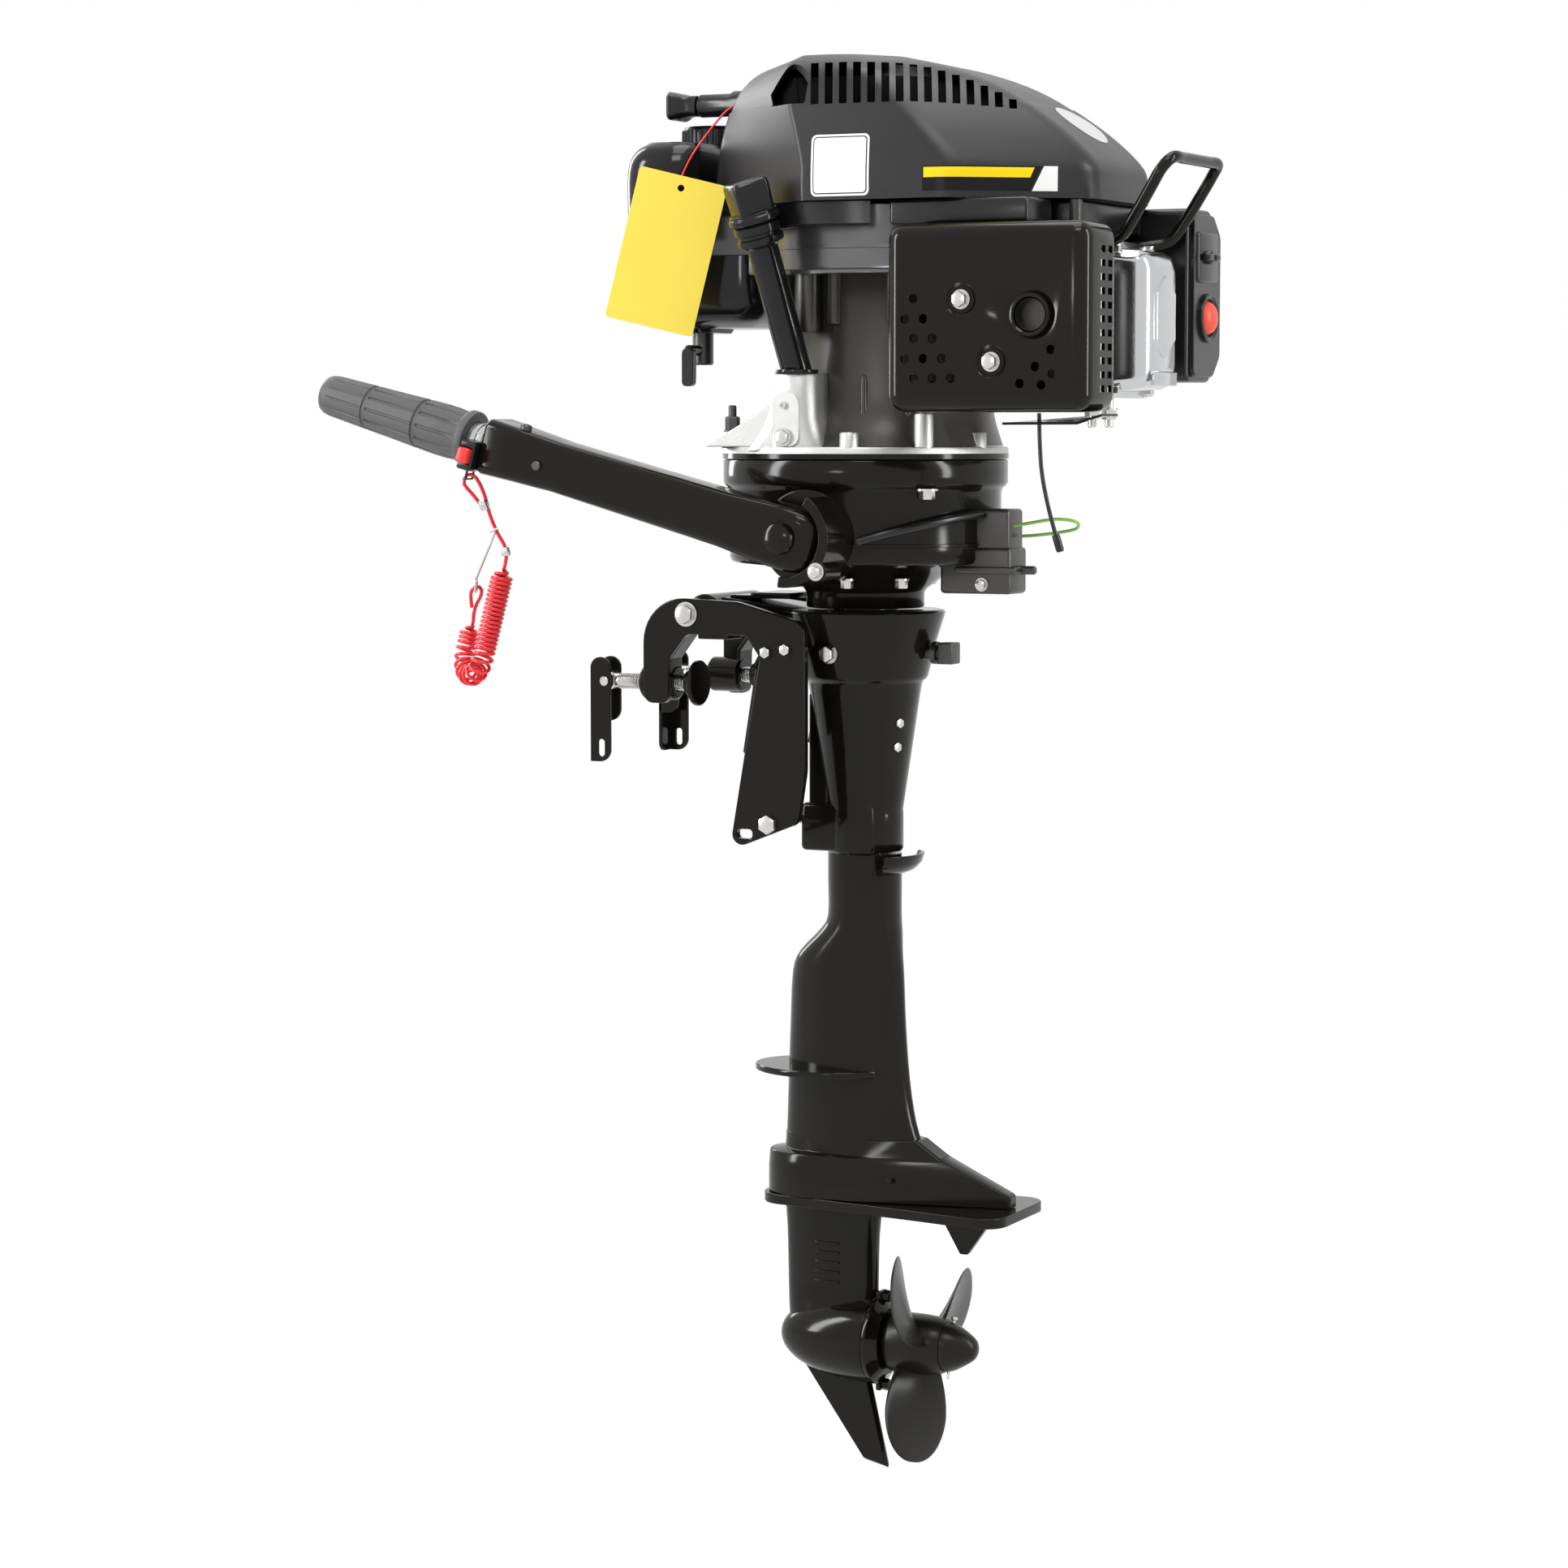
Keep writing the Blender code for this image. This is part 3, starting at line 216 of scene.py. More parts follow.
def turn_up(bm, profile, centre, way, steps=32):
    """Spin a profile of (radius, along) points once round an axis through a point."""
    axis = Vector(way).normalized()
    side = axis.orthogonal().normalized()
    start = Vector(centre)
    verts = [bm.verts.new(start + axis * along + side * radius) for radius, along in profile]
    edges = [bm.edges.new(pair) for pair in zip(verts, verts[1:])]
    bmesh.ops.spin(bm, geom=verts + edges, cent=start, axis=axis, angle=2 * math.pi, steps=steps,
                   use_merge=True)


def hexagon_bolt(bm, centre, way, across, tall, washer=0.0):
    """A bolt head: a chamfered hexagon, on a washer where one is given."""
    axis = Vector(way).normalized()
    turn = axis.to_track_quat("Z", "Y").to_matrix().to_4x4()
    seat = Vector(centre)
    if washer:
        turn_up(bm, rod(washer, 0.0, WASHER_TALL), seat, axis, 24)
        seat = seat + axis * WASHER_TALL
    made = bmesh.ops.create_cone(bm, cap_ends=True, segments=6, radius1=across / 1.732,
                                 radius2=across / 1.732, depth=tall,
                                 matrix=Matrix.Translation(seat + axis * tall / 2) @ turn)
    rim = [edge for edge in {e for v in made["verts"] for e in v.link_edges}
           if all((v.co - seat).dot(axis) > tall * 0.9 for v in edge.verts)]
    bmesh.ops.bevel(bm, geom=rim, offset=tall * 0.16, segments=2, profile=0.5, affect="EDGES", material=-1)


def soft_outline(corners, steps):
    """A closed outline whose corners (x, y, radius) are rounded by arcs of some steps."""
    outline = []
    for i, (x, y, radius) in enumerate(corners):
        corner = Vector((x, y))
        before = (Vector(corners[i - 1][:2]) - corner).normalized()
        after = (Vector(corners[(i + 1) % len(corners)][:2]) - corner).normalized()
        half = before.angle(after) / 2
        if not radius:
            outline.append(corner)
            continue
        middle = corner + (before + after).normalized() * radius / math.sin(half)
        first = corner + before * radius / math.tan(half) - middle
        sweep = first.angle_signed(corner + after * radius / math.tan(half) - middle)
        for step in range(steps + 1):
            arm = first.copy()
            arm.rotate(Matrix.Rotation(-sweep * step / steps, 2))
            outline.append(middle + arm)
    return outline


def loop_of(bm, points):
    verts = [bm.verts.new(point) for point in points]
    return [bm.edges.new((a, b)) for a, b in zip(verts, verts[1:] + verts[:1])]


def loft(bm, sections, capped=True):
    """Join outlines of equal count into a skin, one after another, and close its ends unless told not to."""
    loops = [loop_of(bm, points) for points in sections]
    for first, second in zip(loops, loops[1:]):
        bmesh.ops.bridge_loops(bm, edges=first + second)
    if capped:
        for loop in (loops[0], loops[-1]):
            bmesh.ops.contextual_create(bm, geom=loop)
    return loops


def plate(bm, outline, low, high, across="y"):
    """A flat piece of an outline's shape, between two levels of the axis that it lies across."""
    spots = {"x": (2, 0, 1), "y": (0, 2, 1), "z": (0, 1, 2)}[across]
    loft(bm, [[[(p[0], p[1], along)[i] for i in spots] for p in outline] for along in (low, high)])


def rectangle(left, foot, right, top, corner):
    """A rectangle's corners, each with the radius that rounds it."""
    return [(left, foot, corner), (right, foot, corner), (right, top, corner), (left, top, corner)]


def rod(radius, low, high):
    """The profile of a plain round bar."""
    return [(0, low), (radius, low), (radius, high), (0, high)]


def hoop(inner, outer, low, high):
    """The profile of a plain ring."""
    return [(inner, low), (outer, low), (outer, high), (inner, high), (inner, low)]


def circle(radius, count):
    """Points spaced evenly round a circle."""
    turns = [2 * math.pi * i / count for i in range(count)]
    return [(radius * math.cos(turn), radius * math.sin(turn)) for turn in turns]


def polar(turn, radius, z=0.0):
    """A point at an angle in degrees and a radius round the upright axis."""
    return Vector((radius * math.cos(math.radians(turn)), radius * math.sin(math.radians(turn)), z))


def stand_in(bm, name, place, material, node, edge=0.0, rounds=2, smooth=35.0):
    """A drawn shape in its place, finished, which takes the place of the frame node that it is named with."""
    return dress(solid(bm, name, place), material, node, [node], edge, rounds, smooth)


def trim(bm, name, place, material, node, edge=0.0, rounds=2, smooth=35.0):
    """A drawn shape in its place, finished, which rides along with a frame node that stays as it is."""
    return dress(solid(bm, name, place), material, node, (), edge, rounds, smooth)


def drawn(draw, *sizes):
    """A new shape that one drawing function makes from its sizes."""
    bm = bmesh.new()
    draw(bm, *sizes)
    return bm


def brick(bm, low, high):
    """A plain box between two corners."""
    size = [h - l for l, h in zip(low, high)]
    middle = Matrix.Translation([(h + l) / 2 for l, h in zip(low, high)])
    return bmesh.ops.create_cube(bm, size=1.0, matrix=middle @ Matrix.Diagonal((*size, 1.0)))["verts"]


def carve(obj, bm, place):
    """Cut a drawn shape out of a piece, and drop the cutter."""
    cutter = solid(bm, "cutter", place)
    step = obj.modifiers.new("carve", "BOOLEAN")
    step.operation = "DIFFERENCE"
    step.solver = "EXACT"
    step.object = cutter
    bpy.context.view_layer.update()
    mesh = bpy.data.meshes.new_from_object(obj.evaluated_get(bpy.context.evaluated_depsgraph_get()))
    obj.modifiers.clear()
    obj.data = mesh
    bpy.data.objects.remove(cutter)
    return obj


GLOSS_BLACK = finish("gloss_black_paint", (0.0056, 0.0048, 0.0034), 0.13, specular=0.2, gloss_drift=0.08,
                     depth=0.012)
PLATED_STEEL = finish("plated_steel", (0.60, 0.59, 0.57), 0.24, metallic=1.0, gloss_drift=0.2, grain=1500.0)
TILT_BOLT, STOP_PIN = (-31.0, 19.0), (37.0, -135.0)
BRACKET_BACK, BRACKET_FACE, LIP_IN = 62.0, 70.0, 48.0
BRACKET_EDGE = [(4, -156, 8), (29, -12, 6), (18, 4, 4), (-32, 4, 8), (-46, -14, 6), (-47, -48, 6),
                (-68, -48, 8), (-68, 32, 33), (10, 29, 30), (66, 14, 12), (66, -95, 40), (60, -134, 10)]
BRACKET_BOLTS, BRACKET_BOLT_ACROSS, BRACKET_BOLT_TALL = ((35.0, -8.0), (51.0, -5.6)), 7.5, 3.4
SEAT_LOW, SEAT_HIGH = (-24.0, 44.0, 0.5), (2.0, 66.0, 12.0)
FACE_PAD = [(23.7, -19.9), (13.3, -83.1), (23.2, -84.7), (33.6, -21.5)]
PIN_SLOT, PIN_SLOT_IN, PIN_SLOT_OUT = rectangle(10, -146.5, 23, -139.5, 3), 56.0, 80.0
LIP_LINE = [(-49.5, -40), (-48.5, -13), (-33.5, 6.5), (-22, 6.5), (-22, 3.8), (-32, 3.8), (-46, -14.5),
            (-47, -40)]
LIP_STOP = BRACKET_FACE - 4.0
SCREW_Y, SCREW_Z, SCREW_EYE = 55.0, -33.0, -104.0
SCREW_BOSS = ((6.6, -73.5), (11.5, -73.5), (13.3, -71.5), (13.3, -47.5), (11.5, -45.5), (6.6, -45.5),
              (6.6, -73.5))
SCREW_EYE_RING = ((2.8, -6), (6.6, -6), (7.5, -5), (7.5, 5), (6.6, 6), (2.8, 6), (2.8, -6))
SCREW_RADIUS, SCREW_SHANK, SCREW_NECK = 6.0, 5.9, 5.0
THREAD_PITCH, THREAD_DEEP, THREAD_FIRST, THREAD_LAST = 1.6, 0.45, 9.0, 14.0
PAD_FACE, PAD_SEAT = -27.0, 4.6
PAD_PROFILE = ((5.6, -4.4), (5.6, -11), (8.2, -11), (9, -10.2), (9, -7), (10, -5.6), (15.8, -4), (17, -3),
               (17, -0.8), (16.2, 0), (0, 0))
HANDLE_FOOT, HANDLE_TOP, HANDLE_HALF, SHEET = -94.0, -15.0, 9.5, 2.8
HANDLE_FRONT, CHEEK_DEEP, SHORT_CHEEK = SCREW_EYE - 12.0, 17.0, -64.0
HANDLE_SLOT = rectangle(HANDLE_FRONT + 6.5, -90, HANDLE_FRONT + 12, -77, 2.5)
HANDLE_PIN = ((0, -11), (2.6, -11), (3.6, -10.2), (3.6, -9.6), (2.4, -9.5), (2.4, 9.5), (3.6, 9.6),
              (3.6, 10.2), (2.6, 11), (0, 11))


def thread_profile():
    """The clamp screw's turned profile, from the end by its eye to the neck that the pad turns on."""
    along = SCREW_EYE + THREAD_FIRST
    profile = [(0, SCREW_EYE + 4), (SCREW_SHANK, SCREW_EYE + 4), (SCREW_SHANK, along)]
    root = SCREW_RADIUS - THREAD_DEEP
    while along < PAD_FACE - THREAD_LAST:
        profile += [(SCREW_RADIUS, along + THREAD_PITCH * 0.2), (SCREW_RADIUS, along + THREAD_PITCH * 0.4),
                    (root, along + THREAD_PITCH * 0.7), (root, along + THREAD_PITCH * 0.9)]
        along += THREAD_PITCH
    return profile + [(SCREW_NECK, along + 0.4), (SCREW_NECK, PAD_FACE - PAD_SEAT), (0, PAD_FACE - PAD_SEAT)]


for side, label in ((-1, "port"), (1, "starboard")):
    y = side * SCREW_Y
    bracket_node = "clamp_bracket_" + label
    casting = bmesh.new()
    plate(casting, soft_outline(BRACKET_EDGE, 10), side * BRACKET_BACK, side * BRACKET_FACE)
    plate(casting, FACE_PAD, side * SEAT_LOW[1], side * SEAT_HIGH[1])
    near, far = sorted((side * SEAT_LOW[1], side * SEAT_HIGH[1]))
    brick(casting, (SEAT_LOW[0], near, SEAT_LOW[2]), (SEAT_HIGH[0], far, SEAT_HIGH[2]))
    bracket = solid(casting, "bracket_casting_" + label, CLAMP)
    carve(bracket, drawn(plate, soft_outline(PIN_SLOT, 5), side * PIN_SLOT_IN, side * PIN_SLOT_OUT), CLAMP)
    dress(bracket, GLOSS_BLACK, bracket_node, [bracket_node], 1.4, 3)
    lip = bmesh.new()
    plate(lip, LIP_LINE, side * LIP_IN, side * LIP_STOP)
    turn_up(lip, SCREW_BOSS, (0, y, SCREW_Z), (1, 0, 0), 40)
    trim(lip, "bracket_lip_" + label, CLAMP, GLOSS_BLACK, bracket_node, 0.6)
    rivets = bmesh.new()
    for x, z in BRACKET_BOLTS:
        hexagon_bolt(rivets, (x, side * BRACKET_FACE, z), (0, side, 0), BRACKET_BOLT_ACROSS,
                     BRACKET_BOLT_TALL)
    trim(rivets, "bracket_bolts_" + label, CLAMP, PLATED_STEEL, bracket_node)

    stand_in(drawn(turn_up, PAD_PROFILE, (PAD_FACE, y, SCREW_Z), (1, 0, 0), 56), "pressed_pad_" + label,
             CLAMP, GLOSS_BLACK, "clamp_pad_" + label)
    screw = bmesh.new()
    turn_up(screw, thread_profile(), (0, y, SCREW_Z), (1, 0, 0), 32)
    turn_up(screw, SCREW_EYE_RING, (SCREW_EYE, y, SCREW_Z), (0, 1, 0), 36)
    stand_in(screw, "thumb_screw_" + label, CLAMP, PLATED_STEEL, "clamp_screw_" + label)

    handle_node = "clamp_handle_" + label
    handle = bmesh.new()
    web = soft_outline([(y - HANDLE_HALF, HANDLE_FOOT, 6.5), (y + HANDLE_HALF, HANDLE_FOOT, 6.5),
                        (y + HANDLE_HALF, HANDLE_TOP, 9), (y - HANDLE_HALF, HANDLE_TOP, 9)], 7)
    plate(handle, web, HANDLE_FRONT, HANDLE_FRONT + SHEET, "x")
    for inward, foot in ((-side, SHORT_CHEEK), (side, HANDLE_FOOT)):
        cheek = soft_outline([(HANDLE_FRONT, foot, 0), (HANDLE_FRONT + CHEEK_DEEP, foot, 9),
                              (HANDLE_FRONT + CHEEK_DEEP, HANDLE_TOP, 8.4), (HANDLE_FRONT, HANDLE_TOP, 8)], 8)
        plate(handle, cheek, y + inward * (HANDLE_HALF - SHEET), y + inward * HANDLE_HALF)
    folded = solid(handle, "folding_handle_" + label, CLAMP)
    carve(folded, drawn(plate, soft_outline(HANDLE_SLOT, 5), y - HANDLE_HALF - 2, y + HANDLE_HALF + 2), CLAMP)
    dress(folded, GLOSS_BLACK, handle_node, [handle_node], 0.7, 3)
    trim(drawn(turn_up, HANDLE_PIN, (SCREW_EYE, y, SCREW_Z), (0, 1, 0), 24), "handle_pin_" + label, CLAMP,
         PLATED_STEEL, handle_node)

CROSS_END, CROSS_HEAD, CROSS_HEAD_TALL = BRACKET_FACE + 2.0, 12.5, 4.6
for name, (x, z), radius, washer in (("tilt_bolt", TILT_BOLT, 6.0, 9.2), ("tilt_stop_pin", STOP_PIN, 4.0, 0)):
    bolt = bmesh.new()
    turn_up(bolt, rod(radius, -CROSS_END, CROSS_END), (x, 0, z), (0, 1, 0), 28)
    for side in (-1, 1):
        hexagon_bolt(bolt, (x, side * (BRACKET_FACE + 0.2), z), (0, side, 0), CROSS_HEAD, CROSS_HEAD_TALL,
                     washer)
    stand_in(bolt, name + "_bright", CLAMP, PLATED_STEEL, name)

# Swivel bracket: a cast collar and tapered barrel in gloss black, which tilts on the clamp's bolt and holds
# the steering bushes. An arm runs forward to the bolt, a foot rests on the stop pin, and a square-headed
# screw drags.

LEG_X = 83.0
STEER = Matrix.Translation((LEG_X, 0.0, 0.0))
COLLAR = ((24.2, 22.6), (56.5, 22.6), (58.6, 22.0), (59.8, 20.4), (53.6, 0.0), (47.2, -26.5), (46.0, -29.0),
          (43.6, -30.6), (42.6, -32.6), (41.6, -38.0), (34.6, -86.0), (28.6, -127.0), (28.9, -130.0),
          (29.0, -156.0), (28.0, -158.0), (24.2, -158.0), (24.2, 22.6))
TILT_X, TILT_Z, LOCK_Z = -114.0, 19.0, -9.0
ARM_LINE, ARM_HALF = [(TILT_X - 2, 7, 5), (-30, 5, 4), (-30, 21.5, 4), (TILT_X, 31.5, 9)], 30.0
ARM_EYE = ((6.5, -43), (12.6, -43), (14, -41.6), (14, 41.6), (12.6, 43), (6.5, 43), (6.5, -43))
FOOT_LOW, FOOT_HIGH = (-41.7, -26.0, -158.0), (18.0, 26.0, -122.0)
WEB_LOW, WEB_HIGH, WEB_SIDES = (-36, -4, -124), (-20, 4, -40), (-19.0, 19.0)
CATCH_PLATES = ((rectangle(-104, -20, -52, 20, 3), 29.4, 31.8), (rectangle(-84, -26, -50, 26, 3), 32.0, 34.2))

stand_in(drawn(turn_up, COLLAR, (0, 0, 0), (0, 0, 1), 112), "swivel_collar", STEER, GLOSS_BLACK,
         "swivel_bracket", smooth=50.0)

arm = bmesh.new()
plate(arm, soft_outline(ARM_LINE, 6), -ARM_HALF, ARM_HALF)
turn_up(arm, ARM_EYE, (TILT_X, 0, TILT_Z), (0, 1, 0), 40)
trim(arm, "tilt_arm", STEER, GLOSS_BLACK, "swivel_bracket", 1.2, 3)


def softened_box(bm, low, high, radius, steps):
    """A box between two corners whose edges are all rounded."""
    verts = brick(bm, low, high)
    edges = list({edge for vert in verts for edge in vert.link_edges})
    bmesh.ops.bevel(bm, geom=edges, offset=radius, segments=steps, profile=0.5, affect="EDGES", material=-1)


foot = bmesh.new()
softened_box(foot, FOOT_LOW, FOOT_HIGH, 4.0, 4)
for y in WEB_SIDES:
    softened_box(foot, Vector(WEB_LOW) + Vector((0, y, 0)), Vector(WEB_HIGH) + Vector((0, y, 0)), 2.0, 3)
trim(foot, "stop_foot", STEER, GLOSS_BLACK, "swivel_bracket")

catch = bmesh.new()
for corners, low, high in CATCH_PLATES:
    plate(catch, soft_outline(corners, 4), low, high, "z")
trim(catch, "tilt_catch", STEER, GLOSS_BLACK, "swivel_bracket", 0.5)

COLLAR_BOLTS, COLLAR_BOLT_OUT = (264.0, -264.0), 51.0
STRIP_TURN, STRIP_BOLTS = -24.0, ((37.4, -61.0), (34.8, -79.0))
collar_bolts = bmesh.new()
for turn in COLLAR_BOLTS:
    hexagon_bolt(collar_bolts, polar(turn, COLLAR_BOLT_OUT, LOCK_Z), polar(turn, 1.0), 10.5, 5.5, 7.2)
for radius, z in STRIP_BOLTS:
    hexagon_bolt(collar_bolts, polar(STRIP_TURN, radius, z), polar(STRIP_TURN, 1.0), 6.5, 2.6)
trim(collar_bolts, "collar_bolts", STEER, PLATED_STEEL, "swivel_bracket")

DARK_STEEL = finish("dark_steel", (0.075, 0.073, 0.07), 0.36, metallic=0.85, gloss_drift=0.2, grain=1300.0,
                    depth=0.1)
LOCK_SCREW = ((0, 24.8), (4.9, 24.8), (4.9, 55.5), (8.4, 55.5), (8.4, 59.5), (6.0, 60.6), (6.0, 63), (0, 63))
LOCK_HEAD_LOW, LOCK_HEAD_HIGH = (62, -8, LOCK_Z - 8), (74, 8, LOCK_Z + 8)
lock = bmesh.new()
turn_up(lock, LOCK_SCREW, (0, 0, LOCK_Z), (1, 0, 0), 32)
softened_box(lock, LOCK_HEAD_LOW, LOCK_HEAD_HIGH, 1.3, 3)
stand_in(lock, "lock_screw", STEER, DARK_STEEL, "steering_lock_screw")

BLACK_MOULDING = finish("black_moulding", (0.0065, 0.0064, 0.0068), 0.24, specular=0.4, grain=1800.0,
                        depth=0.05)
BUSH_IN, BUSH_OUT = 20.6, 23.8
for bearing, low, high in (("upper_bush", -2.0, 23.6), ("lower_bush", -158.6, -131.0)):
    stand_in(drawn(turn_up, hoop(BUSH_IN, BUSH_OUT, low, high), (0, 0, 0), (0, 0, 1), 64),
             bearing + "_sleeve", STEER, BLACK_MOULDING, bearing, 0.3)

# Leg: the adapter housing under the engine with the tiller's yoke, and the long drive housing that turns in
# the swivel and ends in a wedge-shaped foot. Both are aluminium castings in gloss black paint, bolted at
# their flanges.

HOUSING = ((20.4, 24.0), (43.0, 24.0), (44.0, 25.0), (44.0, 35.0), (46.0, 38.0), (69.0, 54.6), (96.5, 57.4),
           (99.6, 58.6), (101.0, 61.5), (101.0, 70.6), (102.6, 71.0), (102.6, 72.6), (101.0, 73.0),
           (101.0, 110.0), (102.4, 113.0), (104.6, 114.6), (105.8, 117.0), (105.8, 132.6), (104.8, 133.8),
           (78.0, 133.8), (78.0, 62.0), (20.4, 62.0), (20.4, 24.0))
TILLER_Y, TILLER_Z = -126.0, 78.0
YOKE_IN, YOKE_OUT, YOKE_FIRST, YOKE_SWEEP, YOKE_STEPS = 27.6, 35.2, -98.0, 156.0, 26
YOKE_PORT, YOKE_BACK = TILLER_Y - 14.0, TILLER_Y + 25.0
YOKE_WALL = ((6.2, 21.6), (34.0, 21.6), (35.2, 22.8), (35.2, 50), (6.2, 50), (6.2, 21.6))
YOKE_LUG, YOKE_LUG_FACE = Vector((26.5, TILLER_Y, 54.8)), 13.8
LUG_BLOCKS = (((70, -22, 36), (126, 10, 70), 3.0), ((70, -20, 66), (124, 8, 98), 3.0),
              ((84, -27, 51), (132, 12, 56), 1.2))
LUG_PIN, LUG_PIN_AT = ((0, 118), (3.2, 118), (3.2, 141), (2.4, 142), (0, 142)), (0, -12, 53.6)

stand_in(drawn(turn_up, HOUSING, (0, 0, 0), (0, 0, 1), 120), "adapter_shell", STEER, GLOSS_BLACK,
         "adapter_housing", smooth=50.0)

yoke = bmesh.new()
arc = [math.radians(YOKE_FIRST + YOKE_SWEEP * i / YOKE_STEPS) for i in range(YOKE_STEPS + 1)]
rim = [(YOKE_IN * math.cos(a), TILLER_Z + YOKE_IN * math.sin(a)) for a in arc]
rim += [(YOKE_OUT * math.cos(a), TILLER_Z + YOKE_OUT * math.sin(a)) for a in reversed(arc)]
plate(yoke, rim, YOKE_PORT, YOKE_BACK)
turn_up(yoke, YOKE_WALL, (0, TILLER_Y, TILLER_Z), (0, 1, 0), 72)
turn_up(yoke, rod(7.6, -YOKE_LUG_FACE, 12), YOKE_LUG, (0, 1, 0), 28)
trim(yoke, "tiller_yoke", STEER, GLOSS_BLACK, "adapter_housing", 1.8, 4)

lug = bmesh.new()
for low, high, radius in LUG_BLOCKS:
    softened_box(lug, low, high, radius, 3)
turn_up(lug, LUG_PIN, LUG_PIN_AT, (1, 0, 0), 20)
trim(lug, "shift_lug", STEER, DARK_STEEL, "adapter_housing")

RIM_BOLTS, RIM_BOLT_OUT, RIM_BOLT_Z = (-40.0, 205.0, 60.0, 140.0), 104.0, 113.0
NECK_BOLTS, NECK_BOLT_Z = ((-78.0, 60.0), (-40.0, 62.0), (60.0, 60.0), (160.0, 60.0)), 47.0
LUG_BOLT = (104, -22, 43)
bolts = bmesh.new()
for turn in RIM_BOLTS:
    hexagon_bolt(bolts, polar(turn, RIM_BOLT_OUT, RIM_BOLT_Z), (0, 0, -1), 10.5, 6.5, 8.4)
for turn, radius in NECK_BOLTS:
    hexagon_bolt(bolts, polar(turn, radius, NECK_BOLT_Z), (0, 0, -1), 8.0, 6.0, 5.6)
hexagon_bolt(bolts, YOKE_LUG - Vector((0, YOKE_LUG_FACE, 0)), (0, -1, 0), 8.0, 3.4, 6.4)
hexagon_bolt(bolts, LUG_BOLT, (0, -1, 0), 7.0, 3.4, 5.0)
trim(bolts, "housing_bolts", STEER, PLATED_STEEL, "adapter_housing")

TILLER_BOLT = ((0, -26.0), (7.6, -25.6), (10.6, -24.2), (11.6, -22.2), (6.0, -22.0), (6.0, 52), (0, 52))
stand_in(drawn(turn_up, TILLER_BOLT, (0, TILLER_Y, TILLER_Z), (0, 1, 0), 48), "tiller_bolt_cap", STEER,
         GLOSS_BLACK, "tiller_bolt")


def between(values, share):
    """A smooth value between table rows, by a curve through the four rows round it."""
    last = len(values) - 1
    index = min(int(share), last - 1)
    t = share - index
    before = values[index - 1] if index else 2 * values[0] - values[1]
    here, there = values[index], values[index + 1]
    after = values[index + 2] if index + 2 <= last else 2 * values[last] - values[last - 1]
    bend = 2 * before - 5 * here + 4 * there - after
    return here + 0.5 * t * ((there - before) + t * (bend + t * (3 * (here - there) + after - before)))


def filled_in(rows, parts):
    """The rows of a table with smooth rows between them, parts to each step."""
    shares = [i / parts for i in range(parts * (len(rows) - 1) + 1)]
    return [[between(column, share) for column in zip(*rows)] for share in shares]


def stream_line(front, aft, half, tail, count=72):
    """A streamlined outline along X, drawn finer aft as its tail value grows."""
    outline = []
    for i in range(count):
        angle = 2 * math.pi * i / count
        along = math.cos(angle)
        wide = abs(math.sin(angle)) ** (tail if along > 0 else 1.0)
        outline.append(((front + aft) / 2 + along * (aft - front) / 2,
                        math.copysign(half * wide, math.sin(angle))))
    return outline


def streamed(bm, rows, parts):
    """A capped loft through streamlined outlines, whose rows are (z, front, aft, half width, tail)."""
    loft(bm, [[(x, y, z) for x, y in stream_line(*shape)] for z, *shape in filled_in(rows, parts)])


JOURNAL = ((44.0, -20, 20, 20, 1), (-100.0, -20, 20, 20, 1), (-159.6, -20, 20, 20, 1))
CASING = ((-160.0, -28, 28, 27, 1), (-180.0, -28, 28, 27, 1), (-207.0, -28, 28, 27, 1),
          (-219.0, -35, 29, 27, 1), (-236.0, -52, 30, 26, 1), (-252.0, -58.5, 31.6, 26, 1.1),
          (-290.0, -60.5, 33.5, 26, 1.15), (-330.0, -62, 37, 26, 1.2), (-362.0, -63.2, 42.5, 26, 1.25),
          (-386.0, -64.4, 51, 26, 1.3))
SPLASH = ((-322.6, -87.2, 23.5, 41.4), (-323.4, -88, 24, 42), (-326.6, -88, 24, 42),
          (-327.4, -87.2, 23.5, 41.4))
drive = bmesh.new()
streamed(drive, JOURNAL, 1)
streamed(drive, CASING, 3)
loft(drive, [[(x, y, z) for x, y in stream_line(front, aft, half, 1)] for z, front, aft, half in SPLASH])
stand_in(drive, "drive_casing", STEER, GLOSS_BLACK, "drive_housing", smooth=40.0)


def part_turn(bm, profile, centre_x, first, last, steps):
    """Spin a closed profile of (radius, height) points part of the way round, and cap its ends."""
    turns = [first + (last - first) * i / steps for i in range(steps + 1)]
    loft(bm, [[Vector((centre_x, 0, 0)) + polar(turn, radius, z) for radius, z in profile] for turn in turns])


HOOK_HALF = 46.0
HOOK_PROFILE = ((20.0, -176.0), (30.0, -175.0), (38.0, -171.5), (43.0, -166.0), (45.0, -159.6),
                (42.6, -159.6), (40.6, -164.0), (36.0, -168.0), (29.0, -170.0), (20.0, -170.0))
aft_hook = bmesh.new()
part_turn(aft_hook, HOOK_PROFILE, 0.0, -HOOK_HALF, HOOK_HALF, 28)
trim(aft_hook, "aft_hook", STEER, GLOSS_BLACK, "drive_housing", 0.6, 2, 40.0)

NOSE_LONG, FLANK_LONG, TAIL_ROUND = 46.0, 34.0, 1.5


def wedge_line(front, aft, half, blunt):
    """The foot's outline: a round nose, straight flanks and a blunt narrow tail."""
    nose = [math.radians(90 + 180 * i / 24) for i in range(25)]
    shoulder = front + NOSE_LONG
    points = [(shoulder + NOSE_LONG * math.cos(a), half * math.sin(a)) for a in nose]
    tail = [(shoulder + FLANK_LONG, half), (aft - TAIL_ROUND, blunt), (aft, blunt - TAIL_ROUND)]
    return points + [(x, -y) for x, y in tail] + tail[::-1]


